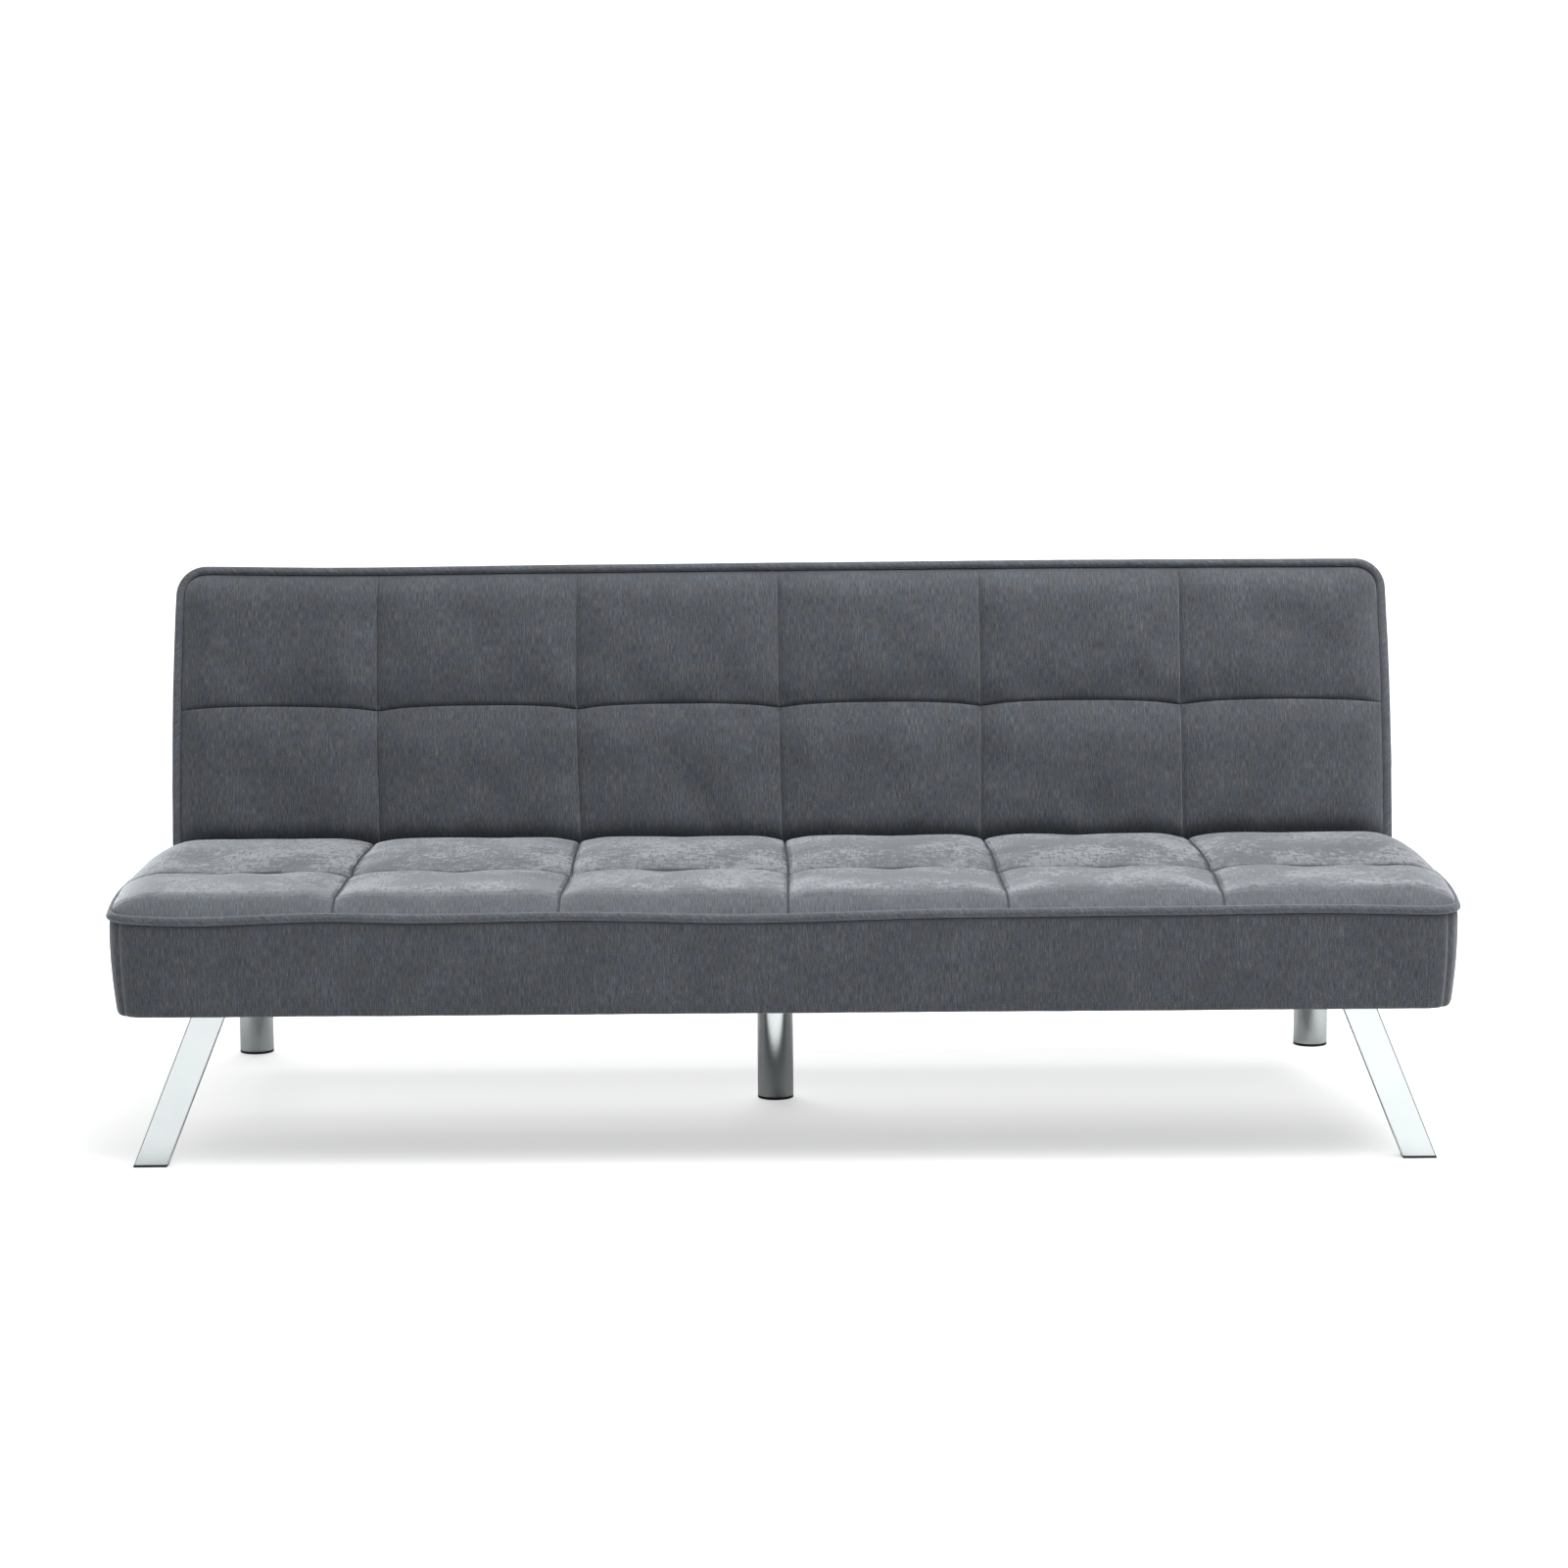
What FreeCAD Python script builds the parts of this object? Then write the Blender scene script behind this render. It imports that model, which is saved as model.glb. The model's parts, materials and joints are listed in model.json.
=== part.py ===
import FreeCAD, Part

import math
import os

# A click-clack sofa bed. +X is to the sitter's left, +Y to the rear, +Z up. The origin is on the floor,
# under the middle of the sofa's width and depth. Everything is in millimetres.

# ---- overall size
WIDTH = 1680.0                    # over the piping
DEPTH = 847.0                     # front piping to the back of the rear legs
SEAT_DEPTH = 514.5                # skirt face to skirt face
BACK_LENGTH = 404.0               # skirt face to skirt face, hinge edge to top edge
RECLINE = 74.0                    # turn of the back between its rest pose and flat
FORWARD = 8.0                     # turn of the back past its rest pose that lets the hinge go
BED_GAP = 12.0                    # between the two boxes when flat

# ---- height levels of the seat box, which the back box shares when it lies flat
BOX_BOTTOM = 203.0                # lower edge of the skirt
BEAD_Z = 328.0                    # middle of the piping
CROWN_Z = 352.0                   # top of the cushion
PIVOT_Z = 330.0

# ---- soft layers
FABRIC = 1.6
WADDING = 10.0
BEAD_R = 4.5                      # piping
BEAD_PROUD = 3.5                  # how far the piping stands out of the skirt
PLAN_R = 36.0                     # corner radius of the boxes in plan
ROLL_R = 19.0                     # rounding of the cushion's top edge
CREASE_GAP = 0.6                  # half the space between the two cushions with the back full forward
FLANGE = 26.0                     # skirt turned in under the frame
PANEL = 1.0                       # dust cover and rear panel
PAD = 3.0                         # felt over the springs

# ---- wooden frames
BOARD = 22.0
RAIL_TOP = 291.0
CROSS_X = 280.0
CROSS_HEIGHT = 60.0
BEARER_WIDTH = 130.0
BEARER_HEIGHT = 18.0
BLOCK = 60.0                      # corner block legs
BLOCK_HEIGHT = 58.0

# ---- sinuous springs
WIRE_R = 1.8
SPRING_COUNT = 8
SPRING_STEP = 200.0
SPRING_RUN = 30.0
SPRING_PITCH = 22.4
CLIP_PLATE = 1.2
CLIP_LENGTH = 22.0
CLIP_DEPTH = 18.0

# ---- steel base
TUBE_HEIGHT = 30.0
TUBE_WIDTH = 40.0
CROSS_TUBE_WIDTH = 30.0
TUBE_WALL = 2.0
TUBE_TOP = 198.0
RAIL_X = 772.5                    # centre of each side rail
RAIL_FRONT_Y = -225.0
FRONT_TUBE_Y = -205.0
MIDDLE_TUBE_Y = 47.3
REAR_TUBE_Y = 372.0
RAIL_BOLT_YS = (-190.0, -85.0, 15.0)
BOLT_R = 4.0
SPACER_R = 14.0
PAD_R = 15.0
PAD_HEIGHT = 3.5
PAD_XS = (-550.0, 0.0, 550.0)

# ---- legs
LEG_R = 24.5
LEG_WALL = 1.5
LEG_TOP_PLATE = 3.0
STUD_R = 5.0
STUD_RISE = 20.0
MIDDLE_LEG_X = -12.0
SOLE = 4.0                        # round foot cap below the tube
PLUG = 15.0
FLAT_LEG_WIDTH = 40.0
FLAT_LEG_THICK = 20.0
FLAT_LEG_SPLAY = 22.0             # degrees outwards
FLAT_FOOT_X = 808.0
FLAT_LEG_INSET = 66.0             # centre of the front leg behind the skirt
FLAT_SOLE = 3.5
PLATE = 3.0
PLATE_X = 110.0
PLATE_Y = 70.0
SCREW_R = 3.0

# ---- click-clack hinge, seen in the Y-Z plane with the pivot at 0, 0 and the back flat
ARM = 4.0
ARM_BOSS_R = 9.0
ARM_KNEE = (52.0, -24.0)
ARM_KNEE_R = 13.0
ARM_HEEL = (62.0, -66.0)
ARM_TAIL = (160.0, -66.0)
ARM_FOOT_R = 16.0
HINGE_SCREWS = (66.0, 111.0, 156.0)
WASHER = 1.0
PLAY = 0.1
PIVOT_R = 4.0
RUNNING = 0.05                    # radial clearance of everything that turns
RATCHET_TIP_R = 22.0
RATCHET_ROOT_R = 17.5
RATCHET_WALLS = (250.0, 287.0, 324.0)     # stop faces for upright, half-way and flat, at rest
RATCHET_START = 222.0
RATCHET_END = 331.0
RATCHET_RAMP = 23.0
PAWL_PIN = (-36.0, -12.0)
PAWL_PIN_R = 3.0
PAWL_EYE_R = 6.0
PAWL_NOSE_R = 1.9
PAWL_NOSE_AT = 24.3               # nose centre's distance from the pivot, drawn back
PAWL_NOSE_ANGLE = 245.0
POCKET_IN = 26.0                  # width of the slit that the hinge works in

# ---- side label
LABEL_FROM = 111.0                # up the back from the hinge edge
LABEL_LONG = 34.0
LABEL_WIDE = 12.0

# ---- worked out
SKIRT_X = WIDTH / 2 - BEAD_PROUD
FRONT_Y = -DEPTH / 2 + BEAD_PROUD
SEAT_REAR_Y = FRONT_Y + SEAT_DEPTH
PIVOT_Y = SEAT_REAR_Y + BED_GAP / 2
BACK_FRONT_Y = PIVOT_Y + BED_GAP / 2
BACK_END_Y = BACK_FRONT_Y + BACK_LENGTH
REAR_LEG_Y = DEPTH / 2 - LEG_R
FRONT_LEG_Y = FRONT_Y + FLAT_LEG_INSET
FRAME_INSET = FABRIC + WADDING
FRAME_BOTTOM = BOX_BOTTOM + FABRIC
RAIL_INNER_X = SKIRT_X - FRAME_INSET - BOARD
BEAD_INSET = BEAD_R - BEAD_PROUD
SKIRT_TOP = BEAD_Z - BEAD_R
COVER_BOTTOM = BEAD_Z + BEAD_R
TUBE_BOTTOM = TUBE_TOP - TUBE_HEIGHT
WIRE_Z = RAIL_TOP + CLIP_PLATE + WIRE_R
PAD_BOTTOM = WIRE_Z + WIRE_R + CLIP_PLATE + 0.4
PLATE_TOP = FRAME_BOTTOM
PLATE_BOTTOM = PLATE_TOP - PLATE
SEAT_ARM_X = RAIL_INNER_X - ARM
BACK_ARM_X = SEAT_ARM_X - WASHER - PLAY - ARM
NUT_X = BACK_ARM_X - PLAY - WASHER
PIVOT = FreeCAD.Vector(0, PIVOT_Y, PIVOT_Z)
X_AXIS = FreeCAD.Vector(1, 0, 0)
Y_AXIS = FreeCAD.Vector(0, 1, 0)
Z_AXIS = FreeCAD.Vector(0, 0, 1)


# ---- small tools

def block(x0, x1, y0, y1, z0, z1):
    return Part.makeBox(x1 - x0, y1 - y0, z1 - z0, FreeCAD.Vector(x0, y0, z0))


def rod(x, y, z, axis, radius, length):
    return Part.makeCylinder(radius, length, FreeCAD.Vector(x, y, z), axis)


def cut_all(shape, tools):
    for tool in tools:
        shape = shape.cut(tool)
    return shape


def fuse_all(shapes):
    return shapes[0].multiFuse(shapes[1:]).removeSplitter()


def mirrored(shape):
    return shape.mirror(FreeCAD.Vector(0, 0, 0), X_AXIS)


def both_sides(shape):
    return Part.Compound([shape, mirrored(shape)])


def hexagon(x, y, z, axis, across_flats, length):
    """A hexagonal prism standing on the point x, y, z along X or Z."""
    radius = across_flats / math.sqrt(3)
    corners = []
    for step in range(7):
        angle = math.radians(60 * step)
        a = radius * math.cos(angle)
        b = radius * math.sin(angle)
        corners.append(FreeCAD.Vector(x, y + a, z + b) if axis == X_AXIS else FreeCAD.Vector(x + a, y + b, z))
    return Part.Face(Part.makePolygon(corners)).extrude(axis * length)


def plan_outline(half_x, y0, y1, z, radius):
    """The rounded rectangle that the boxes have in plan, as one wire."""
    r = radius
    arcs = []
    corners = ((half_x - r, y0 + r, -45), (half_x - r, y1 - r, 45), (r - half_x, y1 - r, 135),
               (r - half_x, y0 + r, 225))
    for cx, cy, middle in corners:
        ends = []
        for turn in (-45, 0, 45):
            angle = math.radians(middle + turn)
            ends.append(FreeCAD.Vector(cx + r * math.cos(angle), cy + r * math.sin(angle), z))
        arcs.append(ends)
    edges = []
    for index, (start, middle, end) in enumerate(arcs):
        edges.append(Part.Arc(start, middle, end).toShape())
        edges.append(Part.LineSegment(end, arcs[(index + 1) % 4][0]).toShape())
    return Part.Wire(edges)


def slab(section, inset, z0, z1):
    """A prism with the plan of a box, drawn in from its skirt face by inset."""
    y0, y1 = section
    outline = plan_outline(SKIRT_X - inset, y0 + inset, y1 - inset, z0, PLAN_R - inset)
    return Part.Face(outline).extrude(Z_AXIS * (z1 - z0))


def crease_wedge(section, inset):
    """What the other cushion needs with the back full forward: all beyond the plane halfway between them."""
    side = -1 if section[1] < PIVOT_Y else 1
    reach = WIDTH
    beyond = CREASE_GAP + inset
    wedge = block(-reach, reach, -reach, reach, -beyond, reach)
    wedge.rotate(FreeCAD.Vector(0, 0, 0), X_AXIS, side * (180 - RECLINE - FORWARD) / 2)
    wedge.translate(PIVOT)
    return wedge


def rolled_slab(section, inset, z0, z1, roll):
    """The same prism with its top edge rounded, and leant back at the hinge edge."""
    body = slab(section, inset, z0, z1)
    top = [e for e in body.Edges if abs(e.BoundBox.ZMin - z1) < 0.01 and abs(e.BoundBox.ZMax - z1) < 0.01]
    return body.makeFillet(roll, top).cut(crease_wedge(section, inset))


def pipe(path, start, direction, radius):
    """A round rod swept along a wire."""
    circle = Part.Wire(Part.Circle(start, direction, radius).toShape())
    sweep = Part.BRepOffsetAPI.MakePipeShell(path)
    sweep.add(circle)
    sweep.build()
    sweep.makeSolid()
    return sweep.shape()


def link(start, end, start_r, end_r, x0, x1):
    """A flat bar with round ends in the Y-Z plane; start and end are measured from the hinge pivot."""
    run = math.hypot(end[0] - start[0], end[1] - start[1])
    heading = math.atan2(end[1] - start[1], end[0] - start[0])
    spread = math.acos((start_r - end_r) / run)
    points = []
    for (y, z), radius, side in ((start, start_r, 1), (end, end_r, 1), (end, end_r, -1), (start, start_r, -1)):
        angle = heading + side * spread
        points.append(FreeCAD.Vector(x0, PIVOT_Y + y + radius * math.cos(angle),
                                     PIVOT_Z + z + radius * math.sin(angle)))
    points.append(points[0])
    web = Part.Face(Part.makePolygon(points)).extrude(X_AXIS * (x1 - x0))
    ends = [rod(x0, PIVOT_Y + y, PIVOT_Z + z, X_AXIS, radius, x1 - x0)
            for (y, z), radius in ((start, start_r), (end, end_r))]
    return fuse_all([web] + ends)


def at_rest(shape):
    """Turns a part of the back from flat, where it is drawn, up to its rest pose."""
    turned = shape.copy()
    turned.rotate(PIVOT, X_AXIS, RECLINE)
    return turned


def inward(points):
    """Points of the back's hinge arm, carried over to the seat's arm."""
    return (-points[0], points[1])


# ---- the two upholstered boxes; each is drawn flat, from its front or hinge edge to the other

def hinge_pocket(side):
    """The slit that a hinge works in, on both ends of a box; side is -1 for the seat and 1 for the back."""
    x1 = RAIL_INNER_X + 6.5
    x0 = x1 - POCKET_IN
    reach = sorted((0.0, side * 70.0))
    slit = block(x0, x1, PIVOT_Y + reach[0], PIVOT_Y + reach[1], PIVOT_Z - 45, PIVOT_Z + 10)
    bore = rod(x0, PIVOT_Y, PIVOT_Z, X_AXIS, 13, x1 - x0)
    return both_sides(fuse_all([slit, bore]))


def skirt(section, pocket):
    band = slab(section, 0, BOX_BOTTOM, SKIRT_TOP)
    hollow = slab(section, FABRIC, BOX_BOTTOM + FABRIC, SKIRT_TOP)
    opening = slab(section, FLANGE, BOX_BOTTOM, SKIRT_TOP)
    return cut_all(band, [hollow, opening, pocket])


def wadding(section, pocket):
    """Flat strips along the four sides of the frame, and a quarter turn round each corner."""
    y0, y1 = section
    band = slab(section, FABRIC, FRAME_BOTTOM, SKIRT_TOP)
    band = cut_all(band, [slab(section, FRAME_INSET, FRAME_BOTTOM, SKIRT_TOP), pocket])
    bend_x = SKIRT_X - PLAN_R
    bends_y = (y0 + PLAN_R, y1 - PLAN_R)
    strips = []
    for x_lo, x_hi in ((-WIDTH, -bend_x), (-bend_x, bend_x), (bend_x, WIDTH)):
        for y_lo, y_hi in ((y0, bends_y[0]), bends_y, (bends_y[1], y1)):
            strip = band.common(block(x_lo, x_hi, y_lo, y_hi, FRAME_BOTTOM, SKIRT_TOP))
            strips.extend(strip.Solids)
    return Part.Compound(strips)


def foam(section, pocket):
    lower = slab(section, FRAME_INSET, PAD_BOTTOM + PAD, SKIRT_TOP)
    neck = slab(section, BEAD_INSET + BEAD_R + 1, SKIRT_TOP, COVER_BOTTOM)
    upper = rolled_slab(section, FABRIC, COVER_BOTTOM, CROWN_Z - FABRIC, ROLL_R - FABRIC)
    return fuse_all([lower, neck, upper]).cut(pocket)


def cover(section, pocket):
    outer = rolled_slab(section, 0, COVER_BOTTOM, CROWN_Z, ROLL_R)
    inner = rolled_slab(section, FABRIC, COVER_BOTTOM, CROWN_Z - FABRIC, ROLL_R - FABRIC)
    return cut_all(outer, [inner, pocket])


def piping(section, pocket):
    y0, y1 = section
    half_x = SKIRT_X - BEAD_INSET
    path = plan_outline(half_x, y0 + BEAD_INSET, y1 - BEAD_INSET, BEAD_Z, PLAN_R - BEAD_INSET)
    start = path.Edges[0].valueAt(path.Edges[0].FirstParameter)
    bead = pipe(path, start, path.Edges[0].tangentAt(path.Edges[0].FirstParameter), BEAD_R)
    return bead.cut(pocket)


def spring_pad(section, pocket):
    return slab(section, FRAME_INSET + 4, PAD_BOTTOM, PAD_BOTTOM + PAD).cut(pocket)


def under_panel(section):
    return slab(section, 8, BOX_BOTTOM - PANEL, BOX_BOTTOM)


def end_rails(section):
    """The two long boards of a frame, low Y first."""
    y0, y1 = section
    plan = slab(section, FRAME_INSET, FRAME_BOTTOM, RAIL_TOP)
    low = block(-WIDTH, WIDTH, y0 + FRAME_INSET, y0 + FRAME_INSET + BOARD, FRAME_BOTTOM, RAIL_TOP)
    high = block(-WIDTH, WIDTH, y1 - FRAME_INSET - BOARD, y1 - FRAME_INSET, FRAME_BOTTOM, RAIL_TOP)
    return plan.common(low), plan.common(high)


def between_rails(section):
    y0, y1 = section
    return y0 + FRAME_INSET + BOARD, y1 - FRAME_INSET - BOARD


def side_rails(section, screws):
    y0, y1 = between_rails(section)
    board = block(RAIL_INNER_X, RAIL_INNER_X + BOARD, y0, y1, FRAME_BOTTOM, RAIL_TOP)
    board = board.common(slab(section, FRAME_INSET, FRAME_BOTTOM, RAIL_TOP))
    return both_sides(cut_all(board, screws))


def cross_rails(section):
    y0, y1 = between_rails(section)
    return both_sides(block(CROSS_X - BOARD / 2, CROSS_X + BOARD / 2, y0, y1, FRAME_BOTTOM,
                            FRAME_BOTTOM + CROSS_HEIGHT))


def corner_blocks(y_rail, into, z0):
    """Triangular blocks in the two corners beside a long board; into is the way along Y into the frame."""
    corner = FreeCAD.Vector(RAIL_INNER_X, y_rail, z0)
    outline = [corner, corner + X_AXIS * -BLOCK, corner + Y_AXIS * (into * BLOCK), corner]
    return both_sides(Part.Face(Part.makePolygon(outline)).extrude(Z_AXIS * BLOCK_HEIGHT))


def spring_ends(section):
    y0, y1 = section
    reach = FRAME_INSET + BOARD / 2
    return y0 + reach, y1 - reach


def spring_xs():
    first = -SPRING_STEP * (SPRING_COUNT - 1) / 2
    return [first + SPRING_STEP * index for index in range(SPRING_COUNT)]


def sinuous_spring(section):
    """One zigzag spring: straight runs along X, joined by half circles."""
    y0, y1 = spring_ends(section)
    waves = round((y1 - y0) / SPRING_PITCH)
    pitch = (y1 - y0) / waves
    half = SPRING_RUN / 2
    edges = []
    for wave in range(waves + 1):
        y = y0 + pitch * wave
        way = 1 if wave % 2 == 0 else -1
        end = FreeCAD.Vector(way * half, y, WIRE_Z)
        edges.append(Part.LineSegment(FreeCAD.Vector(-way * half, y, WIRE_Z), end).toShape())
        if wave < waves:
            bulge = FreeCAD.Vector(way * (half + pitch / 2), y + pitch / 2, WIRE_Z)
            following = FreeCAD.Vector(way * half, y + pitch, WIRE_Z)
            edges.append(Part.Arc(end, bulge, following).toShape())
    return pipe(Part.Wire(edges), FreeCAD.Vector(-half, y0, WIRE_Z), X_AXIS, WIRE_R)


def spring_clip(y):
    """A clip plate on a board, with its loop over the first run of a spring."""
    half = CLIP_LENGTH / 2
    plate = block(-half, half, y - CLIP_DEPTH / 2, y + CLIP_DEPTH / 2, RAIL_TOP, RAIL_TOP + CLIP_PLATE)
    inner_r = WIRE_R + RUNNING
    outer_r = inner_r + CLIP_PLATE
    loop = rod(-half, y, WIRE_Z, X_AXIS, outer_r, CLIP_LENGTH).cut(
        rod(-half, y, WIRE_Z, X_AXIS, inner_r, CLIP_LENGTH))
    above = block(-half, half, y - outer_r, y + outer_r, RAIL_TOP + CLIP_PLATE, WIRE_Z + outer_r)
    slot = block(-half, half, y - inner_r, y + inner_r, RAIL_TOP + CLIP_PLATE, WIRE_Z)
    return fuse_all([plate, cut_all(loop.common(above), [slot])])


def spring_set(section):
    spring = sinuous_spring(section)
    clips = [spring_clip(y) for y in spring_ends(section)]
    springs = []
    all_clips = []
    for x in spring_xs():
        springs.append(spring.translated(X_AXIS * x))
        all_clips.extend(clip.translated(X_AXIS * x) for clip in clips)
    return Part.Compound(springs), Part.Compound(all_clips)


# ---- legs and steel base

def square_tube(x0, x1, y0, y1, along, holes):
    """A rectangular tube along X or Y between the base's two height levels."""
    outer = block(x0, x1, y0, y1, TUBE_BOTTOM, TUBE_TOP)
    in_x = 0 if along == X_AXIS else TUBE_WALL
    in_y = TUBE_WALL - in_x
    inner = block(x0 + in_x, x1 - in_x, y0 + in_y, y1 - in_y, TUBE_BOTTOM + TUBE_WALL, TUBE_TOP - TUBE_WALL)
    return cut_all(outer.cut(inner), holes)


def round_leg(x, y):
    height = TUBE_BOTTOM - SOLE
    tube = rod(x, y, SOLE, Z_AXIS, LEG_R, height)
    bore = rod(x, y, SOLE, Z_AXIS, LEG_R - LEG_WALL, height - LEG_TOP_PLATE)
    return cut_all(tube, [bore, rod(x, y, TUBE_BOTTOM - LEG_TOP_PLATE, Z_AXIS, STUD_R, LEG_TOP_PLATE)])


def leg_stud(x, y):
    return rod(x, y, TUBE_BOTTOM - LEG_TOP_PLATE, Z_AXIS, STUD_R, LEG_TOP_PLATE + STUD_RISE)


def weld_nut(x, y):
    z = TUBE_BOTTOM + TUBE_WALL
    return hexagon(x, y, z, Z_AXIS, 17, 8).cut(rod(x, y, z, Z_AXIS, STUD_R + RUNNING, 8))


def round_foot_cap(x, y):
    sole = rod(x, y, 0, Z_AXIS, LEG_R, SOLE)
    rim = [e for e in sole.Edges if abs(e.BoundBox.ZMax) < 0.01]
    plug = rod(x, y, SOLE, Z_AXIS, LEG_R - LEG_WALL - PLAY, PLUG)
    return fuse_all([sole.makeFillet(1.2, rim), plug])


def slanted_bar(width, thick, z0, z1):
    """A bar of the front leg's slope, cut level at both ends, for the leg on the +X side."""
    lean = math.tan(math.radians(FLAT_LEG_SPLAY))
    half = width / 2 / math.cos(math.radians(FLAT_LEG_SPLAY))
    outline = []
    for z, way in ((z0, -1), (z0, 1), (z1, 1), (z1, -1), (z0, -1)):
        outline.append(FreeCAD.Vector(FLAT_FOOT_X - z * lean + way * half, FRONT_LEG_Y - thick / 2, z))
    return Part.Face(Part.makePolygon(outline)).extrude(Y_AXIS * thick)


def front_leg():
    outer = slanted_bar(FLAT_LEG_WIDTH, FLAT_LEG_THICK, FLAT_SOLE, PLATE_BOTTOM)
    slanted = [e for e in outer.Edges if e.BoundBox.ZLength > 100]
    outer = outer.makeFillet(2.0, slanted)
    inner = slanted_bar(FLAT_LEG_WIDTH - 2 * TUBE_WALL, FLAT_LEG_THICK - 2 * TUBE_WALL, FLAT_SOLE, PLATE_BOTTOM)
    return outer.cut(inner)


def front_foot_cap():
    sole = slanted_bar(FLAT_LEG_WIDTH, FLAT_LEG_THICK, 0, FLAT_SOLE)
    plug_width = FLAT_LEG_WIDTH - 2 * TUBE_WALL - 2 * PLAY
    plug_thick = FLAT_LEG_THICK - 2 * TUBE_WALL - 2 * PLAY
    return fuse_all([sole, slanted_bar(plug_width, plug_thick, FLAT_SOLE, FLAT_SOLE + PLUG)])


def front_leg_top_x():
    return FLAT_FOOT_X - PLATE_BOTTOM * math.tan(math.radians(FLAT_LEG_SPLAY))


def front_plate_screw_places():
    x = front_leg_top_x()
    return [(x + dx, FRONT_LEG_Y + dy) for dx in (-43, 43) for dy in (-22, 22)]


def plate_screw(x, y):
    head = rod(x, y, PLATE_BOTTOM - 3, Z_AXIS, 5.5, 3)
    return fuse_all([head, rod(x, y, PLATE_BOTTOM, Z_AXIS, SCREW_R, 19)])


def rail_bolt(x, y):
    head = hexagon(x, y, TUBE_BOTTOM - 5.3, Z_AXIS, 13, 5.3)
    return fuse_all([head, rod(x, y, TUBE_BOTTOM, Z_AXIS, BOLT_R, TUBE_HEIGHT + 22)])


def rail_spacer(x, y):
    height = FRAME_BOTTOM - TUBE_TOP
    return rod(x, y, TUBE_TOP, Z_AXIS, SPACER_R, height).cut(
        rod(x, y, TUBE_TOP, Z_AXIS, BOLT_R + RUNNING, height))


# ---- click-clack hinge, drawn for the +X end

def bolt_hole(x, radius):
    return rod(x, PIVOT_Y, PIVOT_Z, X_AXIS, radius, ARM)


def hinge_screw_tools(x, way, radius, length):
    """Rods at a hinge arm's screw places; way is -1 for the seat's arm and 1 for the back's."""
    return [rod(x, PIVOT_Y + way * y, PIVOT_Z + ARM_TAIL[1], X_AXIS, radius, length) for y in HINGE_SCREWS]


def arm_plate(x, way):
    flip = inward if way < 0 else tuple
    foot = link(flip(ARM_HEEL), flip(ARM_TAIL), ARM_FOOT_R, ARM_FOOT_R, x, x + ARM)
    shin = link(flip(ARM_HEEL), flip(ARM_KNEE), ARM_FOOT_R, ARM_KNEE_R, x, x + ARM)
    neck = link(flip(ARM_KNEE), (0, 0), ARM_KNEE_R, ARM_BOSS_R, x, x + ARM)
    return fuse_all([foot, shin, neck])


def seat_arm():
    holes = hinge_screw_tools(SEAT_ARM_X, -1, SCREW_R - 0.4, ARM) + [bolt_hole(SEAT_ARM_X, PIVOT_R + RUNNING)]
    y, z = PAWL_PIN
    holes.append(rod(SEAT_ARM_X, PIVOT_Y + y, PIVOT_Z + z, X_AXIS, PAWL_PIN_R + RUNNING, ARM))
    return cut_all(arm_plate(SEAT_ARM_X, -1), holes)


def ratchet():
    """The toothed sector of the back's arm. Its angles are given at rest and drawn flat."""
    def point(angle, radius):
        turn = math.radians(angle - RECLINE)
        return FreeCAD.Vector(BACK_ARM_X, PIVOT_Y + radius * math.cos(turn), PIVOT_Z + radius * math.sin(turn))

    outline = [point(RATCHET_START, 2)]
    angle = RATCHET_START
    for wall in RATCHET_WALLS:
        steps = 4
        for step in range(steps + 1):
            outline.append(point(angle + (wall - angle) * step / steps, RATCHET_ROOT_R))
        outline.append(point(wall, RATCHET_TIP_R))
        angle = wall + RATCHET_RAMP
        if wall == RATCHET_WALLS[-1]:
            outline.append(point(RATCHET_END, RATCHET_TIP_R))
    outline.append(point(RATCHET_END, 2))
    outline.append(outline[0])
    return Part.Face(Part.makePolygon(outline)).extrude(X_AXIS * ARM)


def back_arm():
    plate = fuse_all([arm_plate(BACK_ARM_X, 1), ratchet()])
    holes = hinge_screw_tools(BACK_ARM_X, 1, SCREW_R - 0.4, ARM) + [bolt_hole(BACK_ARM_X, PIVOT_R + RUNNING)]
    return cut_all(plate, holes)


def back_packer():
    x = BACK_ARM_X + ARM
    strip = link(ARM_HEEL, ARM_TAIL, ARM_FOOT_R - 1, ARM_FOOT_R - 1, x, RAIL_INNER_X)
    return cut_all(strip, hinge_screw_tools(x, 1, SCREW_R - 0.4, RAIL_INNER_X - x))


def hinge_screws(x, way):
    """Pan-head screws through a hinge arm into the side rail."""
    length = RAIL_INNER_X - x + 18
    heads = hinge_screw_tools(x - 2.5, way, 5, 2.5)
    shanks = hinge_screw_tools(x, way, SCREW_R - 0.5, length)
    return [fuse_all([head, shank]) for head, shank in zip(heads, shanks)]


def side_rail_screw_holes(way):
    return hinge_screw_tools(RAIL_INNER_X, way, SCREW_R - 0.5 + RUNNING, 18.5)


def washer(x):
    return rod(x, PIVOT_Y, PIVOT_Z, X_AXIS, 8.5, WASHER).cut(
        rod(x, PIVOT_Y, PIVOT_Z, X_AXIS, PIVOT_R + RUNNING, WASHER))


def pivot_bolt():
    head = hexagon(RAIL_INNER_X, PIVOT_Y, PIVOT_Z, X_AXIS, 13, 5.3)
    x = NUT_X - 7.3
    return fuse_all([head, rod(x, PIVOT_Y, PIVOT_Z, X_AXIS, PIVOT_R, RAIL_INNER_X - x)])


def pivot_nut():
    x = NUT_X - 6.3
    return hexagon(x, PIVOT_Y, PIVOT_Z, X_AXIS, 13, 6.3).cut(
        rod(x, PIVOT_Y, PIVOT_Z, X_AXIS, PIVOT_R + RUNNING, 6.3))


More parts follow.
